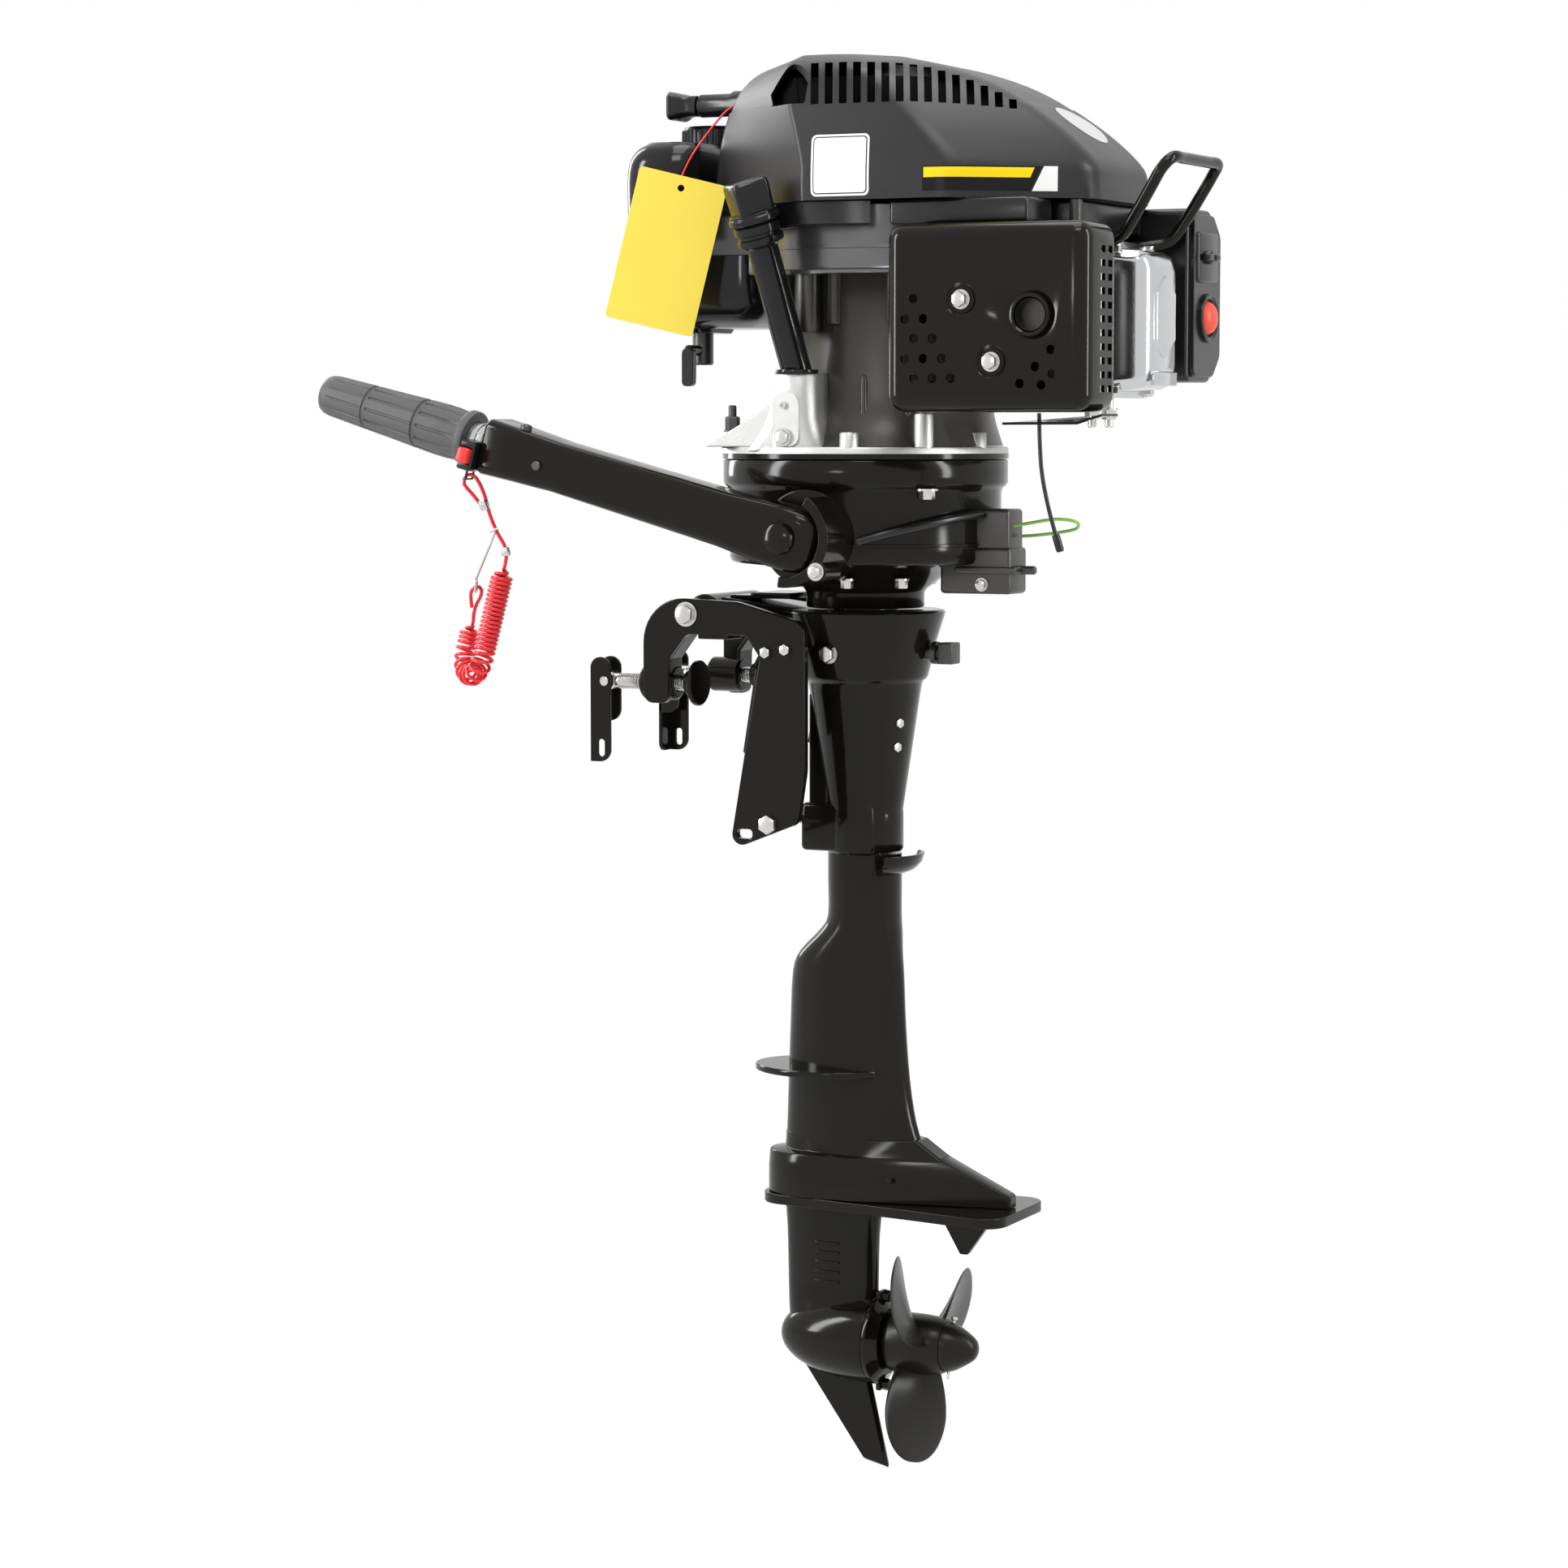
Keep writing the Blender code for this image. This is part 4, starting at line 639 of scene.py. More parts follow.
FOOT_ROWS = ((-374.0, -64.2, 48, 24.0, 10.0), (-386.0, -64.6, 66, 26.0, 10.0),
             (-387.6, -76.0, 69, 30.0, 10.0), (-389.0, -77.2, 72, 30.6, 10.0),
             (-400.0, -78.0, 97, 31.4, 9.0), (-409.5, -78.0, 119.5, 32.0, 7.0),
             (-411.0, -78.0, 122.0, 32.0, 6.5), (-420.0, -78.0, 122.0, 32.0, 6.5))
FOOT_PLUG = (34, -29.6, -402)
foot_casting = bmesh.new()
loft(foot_casting, [[(x, y, z) for x, y in wedge_line(*shape)] for z, *shape in FOOT_ROWS])
turn_up(foot_casting, rod(2.2, 0, 1.6), FOOT_PLUG, (0, -1, 0), 20)
trim(foot_casting, "leg_foot", STEER, GLOSS_BLACK, "drive_housing", 1.2, 3, 28.0)

# Lower unit: the anti-ventilation plate with its trim tab, the slotted strut, the gearcase and the skeg in
# one casting, then the bolted bearing carrier, the three-blade propeller and the nut with its split pin.

PROP_Z = -530.0
PROP_AXIS = (0, 0, PROP_Z)
PLATE_TOP, PLATE_FOOT = -420.4, -428.0
PLATE_EDGE = [(-79, -25, 22), (50, -40, 90), (130, -52, 18), (130, 52, 18), (50, 40, 90), (-79, 25, 22)]
STRUT = ((-424.0, -66, 15, 17, 0.8), (-450.0, -64, 12, 15, 0.8), (-490.0, -63, 11, 15, 0.8),
         (-510.0, -62, 11, 19, 0.8), (-526.0, -60, 8, 23, 0.8))
BULLET = ((0, -67.6), (5.4, -67.0), (9.8, -65.2), (14.0, -62.0), (18.6, -56.6), (22.8, -49.4), (26.4, -40.4),
          (29.2, -30.0), (31.2, -18.4), (32.5, -7.0), (33, 2.0), (33, 11.0), (32, 12.0), (0, 12.0))
TAB_LINE, TAB_HALF = [(60, -424), (110, -424), (86, -458), (80, -458)], 3.0
lower = bmesh.new()
plate(lower, soft_outline(PLATE_EDGE, 10), PLATE_FOOT, PLATE_TOP, "z")
streamed(lower, STRUT, 3)
turn_up(lower, BULLET, PROP_AXIS, (1, 0, 0), 80)
plate(lower, TAB_LINE, -TAB_HALF, TAB_HALF)
stand_in(lower, "lower_casting", STEER, GLOSS_BLACK, "lower_unit", 0.9, 3, 38.0)

SKEG_LINE = ((-61.0, -528.0), (-58.0, -541.0), (2.0, -624.0), (21.0, -628.0), (6.0, -560.0), (-8.0, -534.0))
SKEG_CENTRE, SKEG_SIDES = Vector((-14.0, -575.0)), ((-4.2, 3.0), (0.0, 0.0), (4.2, 3.0))
skeg = bmesh.new()
skeg_sections = []
for y, shrink in SKEG_SIDES:
    points = [Vector(p) + (SKEG_CENTRE - Vector(p)).normalized() * shrink for p in SKEG_LINE]
    skeg_sections.append([(p.x, y, p.y) for p in points])
loft(skeg, skeg_sections)
trim(skeg, "skeg_fin", STEER, GLOSS_BLACK, "lower_unit", 0.8, 3, 20.0)

RIB_COUNT, RIB_PITCH, RIB_FOOT, RIB_OUT = 5, 7.4, -486.0, 14.6
RIB_FRONT, RIB_AFT, RIB_HALF, RIB_TALL = -34.0, -14.0, 1.2, 1.0
water = bmesh.new()
for i in range(RIB_COUNT):
    z = RIB_FOOT + RIB_PITCH * i
    for y in (-RIB_OUT, RIB_OUT):
        softened_box(water, (RIB_FRONT, y - RIB_HALF, z - RIB_TALL), (RIB_AFT, y + RIB_HALF, z + RIB_TALL),
                     0.8, 2)
trim(water, "strut_ribs", STEER, GLOSS_BLACK, "lower_unit")

CARRIER = ((7.6, 12.2), (33.2, 12.2), (33.6, 13.0), (33.6, 15.4), (32.6, 16.4), (28.4, 18.4), (26, 20.6),
           (25, 21.8), (7.6, 21.8), (7.6, 12.2))
EAR_X, EAR_OUT, EAR_BACK, EAR_FACE = 14.2, 33.0, Vector((2.0, 6.5, 5.0)), Vector((2.4, 6.5, 5.0))
carrier = bmesh.new()
turn_up(carrier, CARRIER, PROP_AXIS, (1, 0, 0), 64)
for up in (Vector((0, 0, 1)), Vector((0, 0, -1))):
    ear = Vector((EAR_X, 0, PROP_Z)) + up * EAR_OUT
    softened_box(carrier, ear - EAR_BACK, ear + EAR_FACE, 1.4, 3)
    hexagon_bolt(carrier, ear + Vector((EAR_FACE.x, 0, 0)) + up, (1, 0, 0), 8.0, 5.0)
stand_in(carrier, "carrier_cap", STEER, GLOSS_BLACK, "bearing_carrier")

SATIN_BLACK = finish("satin_black_paint", (0.0075, 0.0066, 0.005), 0.28, specular=0.2, gloss_drift=0.12,
                     grain=1500.0, depth=0.03)
PROP_PITCH, BLADE_TURNS, BLADE_MIDDLE, BLADE_RAKE = 120.0, (-105.0, 15.0, 135.0), 46.0, 0.06
HUB = ((7.4, 23.0), (19.4, 23.0), (21.6, 24.4), (23.0, 28.0), (22.8, 50.0), (22.0, 60.0), (20.4, 66.5),
       (19.0, 68.8), (7.4, 68.8), (7.4, 23.0))
BLADE = ((16.0, 17.0, 7.4), (24.0, 21.0, 6.8), (33.0, 26.0, 5.8), (44.0, 31.0, 5.0), (55.0, 34.0, 4.4),
         (66.0, 33.2, 3.6), (75.0, 29.2, 3.0), (81.5, 23.0, 2.5), (85.6, 15.5, 2.0), (87.6, 8.0, 1.4),
         (88.0, 2.5, 0.8))


def blade(bm, angle):
    """One twisted blade, whose chord follows the propeller's pitch at each radius."""
    out = Vector((0, math.cos(angle), math.sin(angle)))
    aside = Vector((0, -math.sin(angle), math.cos(angle)))
    ahead = Vector((1, 0, 0))
    sections = []
    for radius, chord, thick in filled_in(BLADE, 3):
        lean = math.atan2(PROP_PITCH, 2 * math.pi * radius)
        along = aside * math.cos(lean) + ahead * math.sin(lean)
        across = ahead * math.cos(lean) - aside * math.sin(lean)
        centre = Vector((BLADE_MIDDLE + BLADE_RAKE * radius, 0, PROP_Z)) + out * radius
        sections.append([centre + along * chord * c + across * thick / 2 * s for c, s in circle(1.0, 36)])
    loft(bm, sections)


propeller = bmesh.new()
turn_up(propeller, HUB, PROP_AXIS, (1, 0, 0), 72)
for first in BLADE_TURNS:
    blade(propeller, math.radians(first))
stand_in(propeller, "propeller_casting", STEER, SATIN_BLACK, "propeller", smooth=45.0)

NUT = ((7.4, 69.4), (19.0, 69.4), (18.6, 72.0), (17.0, 76.5), (13.4, 83.0), (10.0, 88.4), (7.4, 91.4),
       (4.4, 93.0), (0, 93.4))
SPLIT_PIN = ((0, -24), (1.1, -24), (1.1, 20), (2.6, 20.6), (2.6, 22.6), (0, 22.6))
SPLIT_PIN_AT, SPLIT_PIN_WAY = (72.0, 0, PROP_Z), (0, 0.25, 0.97)
stand_in(drawn(turn_up, NUT, PROP_AXIS, (1, 0, 0), 64), "propeller_cone", STEER, SATIN_BLACK, "propeller_nut")
trim(drawn(turn_up, SPLIT_PIN, SPLIT_PIN_AT, SPLIT_PIN_WAY, 14), "split_pin", STEER, PLATED_STEEL,
     "propeller_nut")
for hidden in ("drive_shaft", "propeller_shaft"):
    dress(skin(hidden), PLATED_STEEL, hidden, [hidden], 0.4)

# Engine base and crankcase: a bright cast sump flange with bolt bosses and the oil filler's boss, and over
# it the dark crankcase with its ribs and flared foot, and the round blower shroud in satin black sheet.

CAST_ALUMINIUM = finish("cast_aluminium", (0.50, 0.50, 0.49), 0.4, metallic=0.9, drift=0.3, grain=1300.0,
                        depth=0.25)
DARK_CASTING = finish("dark_casting", (0.030, 0.0275, 0.0225), 0.3, specular=0.5, drift=0.35, grain=1300.0,
                      depth=0.12)
SHROUD_BLACK = finish("shroud_paint", (0.14, 0.138, 0.142), 0.24, metallic=0.7, drift=0.3, gloss_drift=0.1,
                      grain=1500.0, depth=0.02)
UPRIGHT = (0, 0, 1)
SUMP = ((13, 134.4), (104.6, 134.4), (106, 135.4), (106, 141.6), (105, 143), (60, 143.4), (60, 150),
        (13, 150), (13, 134.4))
BOSS_TURNS = ((-104.0, 152.6), (-72.0, 153.6), (-40.0, 167.0), (-10.0, 153.6), (60.0, 152.6),
              (100.0, 152.6), (140.0, 152.6), (200.0, 152.6))
BOSS_OUT, BOSS_FOOT = 98.6, 142.0
base = bmesh.new()
turn_up(base, SUMP, (0, 0, 0), UPRIGHT, 120)
for turn, top in BOSS_TURNS:
    stud = [(0, BOSS_FOOT), (7.2, BOSS_FOOT), (7.0, top - 1), (6.2, top), (3.4, top), (3.4, top - 5),
            (0, top - 5)]
    turn_up(base, stud, polar(turn, BOSS_OUT), UPRIGHT, 28)
stand_in(base, "sump_flange", STEER, CAST_ALUMINIUM, "engine_base", smooth=45.0)

trim(drawn(turn_up, hoop(98, 106.4, 134.2, 138.2), (0, 0, 0), UPRIGHT, 120), "flange_gasket", STEER,
     GLOSS_BLACK, "engine_base", 0.3)

OIL_FOOT, OIL_TOP = Vector((-14.0, -88.0, 197.0)), Vector((-38.0, -126.0, 335.0))
BOSS_ROWS = ((140.0, -54.0, 10.0, -99.0, 12.0), (150.0, -45.0, 6.0, -100.6, 13.0),
             (164.0, -37.0, 2.6, -101.0, 14.0), (178.0, -33.6, 1.6, -101.0, 15.0),
             (194.5, -32.4, 1.2, -101.0, 15.6), (196.5, -31.2, 0.0, -99.8, 14.6))
BOSS_BACK, BOSS_BACK_ROUND = -66.0, 3.0
BOSS_WEB = [(-92, 143), (-30, 143), (-30, 172), (-40, 172)]
boss = bmesh.new()
boss_sections = []
for z, front, aft, port, corner in BOSS_ROWS:
    plan = soft_outline([(front, port, corner), (aft, port, corner), (aft, BOSS_BACK, BOSS_BACK_ROUND),
                         (front, BOSS_BACK, BOSS_BACK_ROUND)], 9)
    boss_sections.append([(p.x, p.y, z) for p in plan])
loft(boss, boss_sections)
plate(boss, BOSS_WEB, -84, -74)
trim(boss, "oil_boss", STEER, CAST_ALUMINIUM, "engine_base", 0.8, 3, 40.0)

PAD_LINE, PAD_PORT = [(-28, 143, 8), (-6, 143, 8), (-6, 183, 10), (-28, 183, 10)], -101.4
PAD_SCREW = ((0, 0), (2.6, 0), (2.6, 1.6), (1.2, 1.6), (1.2, 0.4), (0, 0.4))
trim(drawn(plate, soft_outline(PAD_LINE, 8), PAD_PORT + 1.4, PAD_PORT), "boss_pad", STEER, CAST_ALUMINIUM,
     "engine_base", 0.7)
boss_screws = bmesh.new()
hexagon_bolt(boss_screws, (-18.5, PAD_PORT, 150.0), (0, -1, 0), 9.0, 2.0, 6.6)
turn_up(boss_screws, PAD_SCREW, (-18.5, PAD_PORT, 173.0), (0, -1, 0), 20)
trim(boss_screws, "boss_screws", STEER, PLATED_STEEL, "engine_base")

STUD = ((0, 142), (8, 142), (8, 144), (4.2, 145), (4.2, 154), (3.0, 154), (3.0, 172.6), (2.2, 173.4),
        (0, 173.4))
STUD_X, STUD_Y, STUD_NUT_Z = -75.5, -70.0, 154.0
front_stud = bmesh.new()
turn_up(front_stud, STUD, (STUD_X, STUD_Y, 0), UPRIGHT, 24)
hexagon_bolt(front_stud, (STUD_X, STUD_Y, STUD_NUT_Z), UPRIGHT, 9.5, 10.0, 6.4)
trim(front_stud, "front_stud", STEER, DARK_STEEL, "engine_base")

CASE_X = 24.0
CASE_AXIS = Vector((CASE_X, 0, 0))
CASE = ((0, 150.4), (71, 150.4), (71, 274), (69, 277), (62, 286), (0, 286))
FLARE = ((192.0, 24.0, 70.8), (176.0, 24.0, 71.8), (163.0, 22.4, 75.5), (152.5, 18.6, 82.0),
         (143.6, 12.0, 91.0))
TALL_RIB, TALL_RIB_OUT = ((0, 232), (5.4, 232), (6.4, 234), (6.4, 284), (0, 284)), 70.0
TALL_RIBS = (-152.0, -128.0, -104.0, -66.0, -40.0, 40.0, 70.0, 100.0, 130.0, 160.0)
LOW_RIB, LOW_RIB_OUT = ((0, 152), (2.6, 152), (2.6, 190), (1.6, 194), (0, 195)), 71.5
LOW_RIBS = (-117.0, -84.0, -58.0)
case = bmesh.new()
turn_up(case, CASE, CASE_AXIS, UPRIGHT, 96)
loft(case, [[(x + a, b, z) for a, b in circle(radius, 96)] for z, x, radius in filled_in(FLARE, 3)])
for turn in TALL_RIBS:
    turn_up(case, TALL_RIB, CASE_AXIS + polar(turn, TALL_RIB_OUT), UPRIGHT, 24)
for turn in LOW_RIBS:
    turn_up(case, LOW_RIB, CASE_AXIS + polar(turn, LOW_RIB_OUT), UPRIGHT, 18)
stand_in(case, "crankcase_casting", STEER, DARK_CASTING, "crankcase", smooth=42.0)

SHROUD = ((58, 284.6), (97.4, 284.6), (99.0, 285.4), (98, 288.6), (97.4, 292), (97.4, 315.8), (95.4, 315.8),
          (95.4, 290), (58, 290), (58, 284.6))
SKIRT = ((95.6, 268.4), (101.6, 267.6), (102.0, 269.6), (99.2, 270.8), (98.2, 273.0), (98.0, 315.0),
         (95.8, 315.0))
SKIRT_FLOOR = ((70.0, 267.4), (101.6, 267.4), (101.6, 269.0), (70.0, 269.0))
SKIRT_FIRST, SKIRT_LAST = -205.0, -62.0
trim(drawn(turn_up, SHROUD, CASE_AXIS, UPRIGHT, 120), "blower_shroud", STEER, SHROUD_BLACK, "crankcase",
     smooth=40.0)
skirt = bmesh.new()
for profile in (SKIRT, SKIRT_FLOOR):
    part_turn(skirt, profile, CASE_X, SKIRT_FIRST, SKIRT_LAST, 60)
trim(skirt, "shroud_skirt", STEER, SHROUD_BLACK, "crankcase", smooth=40.0)

SHROUD_BOSS = ((0, 226), (8.6, 226), (9.6, 227.4), (9.6, 268), (0, 268))
SHROUD_BOSSES, SHROUD_BOSS_OUT = (-118.0, -150.0), 80.0
case_boss = bmesh.new()
for turn in SHROUD_BOSSES:
    turn_up(case_boss, SHROUD_BOSS, CASE_AXIS + polar(turn, SHROUD_BOSS_OUT), UPRIGHT, 32)
trim(case_boss, "shroud_bosses", STEER, DARK_STEEL, "crankcase", smooth=40.0)

FLOOR_RIM = ((98.6, 300), (109, 300), (111, 302), (111, 317.6), (98.6, 317.6))
FLOOR_BLOCKS = (((70, -112, 300), (176, -66, 317.4)), ((120, -60, 296), (196, 60, 317.4)))
STANDS = ((78, -100), (108, -100), (192, -62))
under = bmesh.new()
part_turn(under, FLOOR_RIM, CASE_X - 6, -210.0, -72.0, 60)
for low, high in FLOOR_BLOCKS:
    softened_box(under, low, high, 2.5, 3)
trim(under, "blower_floor", STEER, BLACK_MOULDING, "crankcase", smooth=40.0)
stands = bmesh.new()
for x, y in STANDS:
    turn_up(stands, rod(4.6, 284, 317), (x, y, 0), UPRIGHT, 20)
trim(stands, "cover_stands", STEER, DARK_CASTING, "crankcase")

# The flywheel and the recoil pulley take the dark casting finish so that they stay dark behind the cowl's
# slots: painted shade on real parts.
INSIDE = (("crankshaft", DARK_CASTING, 0.6, 2), ("flywheel", DARK_CASTING, 0.6, 2),
          ("recoil_pulley", DARK_CASTING, 0.6, 2), ("cylinder", CAST_ALUMINIUM, 0.8, 2),
          ("cylinder_head", CAST_ALUMINIUM, 0.8, 2), ("muffler", DARK_STEEL, 1.5, 3),
          ("carburettor", CAST_ALUMINIUM, 1.0, 3), ("spark_plug", BLACK_MOULDING, 0.6, 2))
for hidden, material, edge, rounds in INSIDE:
    dress(skin(hidden), material, hidden, [hidden], edge, rounds)

# Valve cover and lift handle: a bright plated pressing on the head's aft face, bolted through its flange,
# and under the cowl's tail a bent steel bar in black paint to carry the motor by.

CHROME = finish("bright_plating", (0.55, 0.555, 0.565), 0.16, metallic=1.0, drift=0.1, gloss_drift=0.1,
                grain=500.0, depth=0.04)
AFTWARD = (1, 0, 0)
COVER_FACE, COVER_FLANGE = 236.0, 209.4
COVER_PORT, COVER_FOOT, COVER_FAR, COVER_TOP, COVER_ROUND = -40.0, 178.0, 36.0, 289.0, 9.0
COVER_STEPS = ((206.4, 0.0), (COVER_FLANGE, 0.0), (210.0, 4.5), (226.0, 6.5), (232.0, 9.0),
               (COVER_FACE, 16.0))
BULGE_MIDDLE, BULGE_LINE = (-2.0, 236.0), ((-20, -18), (0, -31), (20, -18), (20, 18), (0, 31), (-20, 18))
BULGE_STEPS = ((COVER_FACE - 1.0, 1.0), (COVER_FACE + 2.0, 0.92), (COVER_FACE + 2.6, 0.8))
BAR_LOW, BAR_HIGH = (COVER_FACE - 1, -26, 187), (COVER_FACE + 1.4, 22, 197)
cover = bmesh.new()
cover_sections = []
for x, inset in COVER_STEPS:
    corners = rectangle(COVER_PORT + inset, COVER_FOOT + inset, COVER_FAR - inset, COVER_TOP - inset,
                        COVER_ROUND)
    cover_sections.append([(x, p.x, p.y) for p in soft_outline(corners, 7)])
loft(cover, cover_sections)
stand_in(cover, "valve_pressing", STEER, CHROME, "valve_cover", 0.6, 3, 40.0)
bulge = bmesh.new()
loft(bulge, [[(x, BULGE_MIDDLE[0] + reach * y, BULGE_MIDDLE[1] + reach * z) for y, z in BULGE_LINE] for x,
             reach in BULGE_STEPS])
softened_box(bulge, BAR_LOW, BAR_HIGH, 0.8, 2)
trim(bulge, "valve_bulge", STEER, CHROME, "valve_cover", 0.8, 3, 30.0)

COVER_BOLTS = ((-34.5, 183.6), (-34.5, 283.4), (30.5, 183.6), (30.5, 283.4))
FOOT_BOLT, FOOT_BOLT_Y, FOOT_BOLT_NUT = ((0, 186), (3.2, 186), (3.2, 158), (2.4, 157), (0, 157)), -16.0, 171.0
cover_bolts = bmesh.new()
for y, z in COVER_BOLTS:
    hexagon_bolt(cover_bolts, (COVER_FLANGE, y, z), AFTWARD, 7.6, 4.6, 4.9)
trim(cover_bolts, "valve_bolts", STEER, PLATED_STEEL, "valve_cover")
foot_bolts = bmesh.new()
for x in (187.0, 200.0):
    turn_up(foot_bolts, FOOT_BOLT, (x, FOOT_BOLT_Y, 0), UPRIGHT, 20)
    hexagon_bolt(foot_bolts, (x, FOOT_BOLT_Y, FOOT_BOLT_NUT), (0, 0, -1), 9.5, 7.0, 6.6)
trim(foot_bolts, "head_foot_bolts", STEER, PLATED_STEEL, "cylinder_head")


def smooth_run(points, count):
    """Evenly spaced points on a smooth curve through the given ones."""
    fine = [Vector(row) for row in filled_in(points, 24)]
    far = [0.0]
    for a, b in zip(fine, fine[1:]):
        far.append(far[-1] + (b - a).length)
    run, at = [], 0
    for i in range(count):
        goal = far[-1] * i / (count - 1)
        while at < len(far) - 2 and far[at + 1] < goal:
            at += 1
        share = (goal - far[at]) / max(far[at + 1] - far[at], 1e-9)
        run.append(fine[at].lerp(fine[at + 1], min(share, 1.0)))
    return run


def tube(bm, points, radius, around):
    """A round tube along points, carried without twist."""
    spots = [Vector(point) for point in points]
    side = (spots[1] - spots[0]).orthogonal().normalized()
    sections = []
    for i, spot in enumerate(spots):
        ahead = (spots[min(i + 1, len(spots) - 1)] - spots[max(i - 1, 0)]).normalized()
        side = (side - ahead * side.dot(ahead)).normalized()
        over = ahead.cross(side)
        sections.append([spot + side * a + over * b for a, b in circle(radius, around)])
    loft(bm, sections)


LIFT_PORT = [(186, -40, 287.6), (204, -46, 287.6), (222, -53, 291), (234, -55, 306), (246, -56, 325),
             (254, -56, 338), (260, -50, 345.5)]
LIFT_CROSS, LIFT_RADIUS = [(260, -30, 346), (260, -5, 346), (260, 20, 346)], 4.25
lift_far = [(x, -y - 10, z) for x, y, z in reversed(LIFT_PORT)]
stand_in(drawn(tube, smooth_run(LIFT_PORT + LIFT_CROSS + lift_far, 90), LIFT_RADIUS, 18), "lift_bar", STEER,
         GLOSS_BLACK, "lift_handle")

# Carburettor side: the air cleaner is a black moulded box with a raised lid held by a wing bolt, and the
# primer is a soft orange bulb in a ring on its aft wall.

ORANGE_RUBBER = finish("orange_rubber", (0.62, 0.05, 0.02), 0.42, drift=0.12, grain=1600.0, depth=0.05)
AIR_FRONT, AIR_AFT = 152.0, 237.0
AIR_LINE = [(54, 190, 6), (100, 190, 9), (117, 207, 9), (117, 299, 9), (100, 316, 9), (54, 316, 6)]
LID_LINE = [(58, 194, 6), (98, 194, 9), (113, 209, 9), (113, 297, 9), (98, 312, 9), (58, 312, 6)]
LID_BOX_LOW, LID_BOX_HIGH = (AIR_AFT - 5, 62, 262), (AIR_AFT + 1.6, 104, 300)
PRIMER_RING = ((13.6, -1), (18, -1), (18, 2.2), (16.6, 3), (13.6, 1.5), (13.6, -1))
PRIMER = ((0, 229), (12.4, 229), (12.6, 236), (12.0, 239), (10.4, 241.6), (8.0, 243.4), (4.6, 244.6),
          (0, 245))
PRIMER_RING_AT, PRIMER_AT = (AIR_AFT, 85, 237), (0, 82, 237)
WING_STEM, WING_Y, WING_Z = ((0, 0), (5, 0), (5, 5), (3.6, 7), (0, 7)), 78.0, 281.0
WING_OUT, WING_HALF, WING_TALL = 8.0, 4.6, 2.4
stand_in(drawn(plate, soft_outline(AIR_LINE, 5), AIR_FRONT, AIR_AFT - 4, "x"), "air_box", STEER,
         BLACK_MOULDING, "air_cleaner", 2.5, 3, 40.0)
lid = bmesh.new()
plate(lid, soft_outline(LID_LINE, 5), AIR_AFT - 6, AIR_AFT - 0.4, "x")
softened_box(lid, LID_BOX_LOW, LID_BOX_HIGH, 3.0, 3)
turn_up(lid, PRIMER_RING, PRIMER_RING_AT, AFTWARD, 48)
trim(lid, "air_lid", STEER, BLACK_MOULDING, "air_cleaner", 1.2, 3, 40.0)
wing = bmesh.new()
turn_up(wing, WING_STEM, (AIR_AFT, WING_Y, WING_Z), AFTWARD, 24)
for y in (WING_Y - WING_OUT, WING_Y + WING_OUT):
    softened_box(wing, (AIR_AFT + 2, y - WING_HALF, WING_Z - WING_TALL),
                 (AIR_AFT + 8.4, y + WING_HALF, WING_Z + WING_TALL), 1.4, 2)
trim(wing, "wing_bolt", STEER, BLACK_MOULDING, "air_cleaner", 0.4)
stand_in(drawn(turn_up, PRIMER, PRIMER_AT, AFTWARD, 40), "primer_dome", STEER, ORANGE_RUBBER, "primer_bulb",
         smooth=50.0)

# Fuel tank: a glossy black moulded tank on a bracket ahead of the engine, with a lobe down its aft side, a
# screw cap on top and the fuel tap with its lever below.

TANK_BLACK = finish("tank_moulding", (0.006, 0.006, 0.0064), 0.14, specular=0.3, drift=0.2, gloss_drift=0.08,
                    grain=700.0, depth=0.03)
TANK_ROWS = ((-152, -120, 24, 10, 228), (-160, -116, 44, 15, 245), (-168, -112, 62, 20, 262),
             (-172, -112, 70, 24, 278), (-172, -112, 70, 24, 312), (-172, -112, 70, 24, 346),
             (-167, -115, 64, 20, 361), (-158, -120, 54, 14, 368))
LOBE_ROWS = ((-138, -82, 33, 13, 231), (-143, -72, 46, 16, 236), (-146, -66, 52, 18, 243),
             (-148, -62, 56, 20, 256), (-148, -62, 56, 20, 284))


def blown(name, rows, stands_for):
    """A blow-moulded body through rounded plans (front, aft, half width, corner, height) on a smooth rise."""
    bm = bmesh.new()
    sections = []
    for front, aft, half, corner, z in filled_in(rows, 4):
        plan = soft_outline(rectangle(front, -half, aft, half, corner), 8)
        sections.append([(p.x, p.y, z) for p in plan])
    loft(bm, sections)
    dress(solid(bm, name, STEER), TANK_BLACK, "fuel_tank", stands_for, 0.8, 3, 45.0)


blown("tank_moulding", TANK_ROWS, ["fuel_tank"])
blown("tank_lobe", LOBE_ROWS, ())
BEARER_LOW, BEARER_HIGH = (-114, -15, 262), (-47.4, 15, 272)
TANK_LUG_LOW, TANK_LUG_HIGH, TANK_BOLT = (-66, -64, 268), (-46, -48, 300), (-56, -64, 292)
TAP_BODY = ((0, 204.2), (7, 204.2), (8, 205.4), (8, 232), (0, 232))
TAP_X, TAP_Z = -136.0, 215.0
TAP_LEVER = [(-141, 188, 3.6), (-131.6, 188, 3.6), (-131, 217, 4.6), (-141, 217, 4.6)]
FUEL_CAP = ((0, 368.4), (24, 368.4), (25, 369.4), (25, 381), (23.4, 384), (8, 384), (6, 382.8), (0, 382.8))
FUEL_CAP_X, FUEL_CAP_Y = -140.0, 30.0
CAP_RIB, CAP_RIBS, CAP_RIB_OUT = ((0, 370.4), (1.1, 370.4), (1.1, 381), (0, 381.6)), 36, 24.9
tank_fittings = bmesh.new()
softened_box(tank_fittings, BEARER_LOW, BEARER_HIGH, 1.2, 2)
turn_up(tank_fittings, TAP_BODY, (TAP_X, 0, 0), UPRIGHT, 28)
softened_box(tank_fittings, TANK_LUG_LOW, TANK_LUG_HIGH, 2.0, 2)
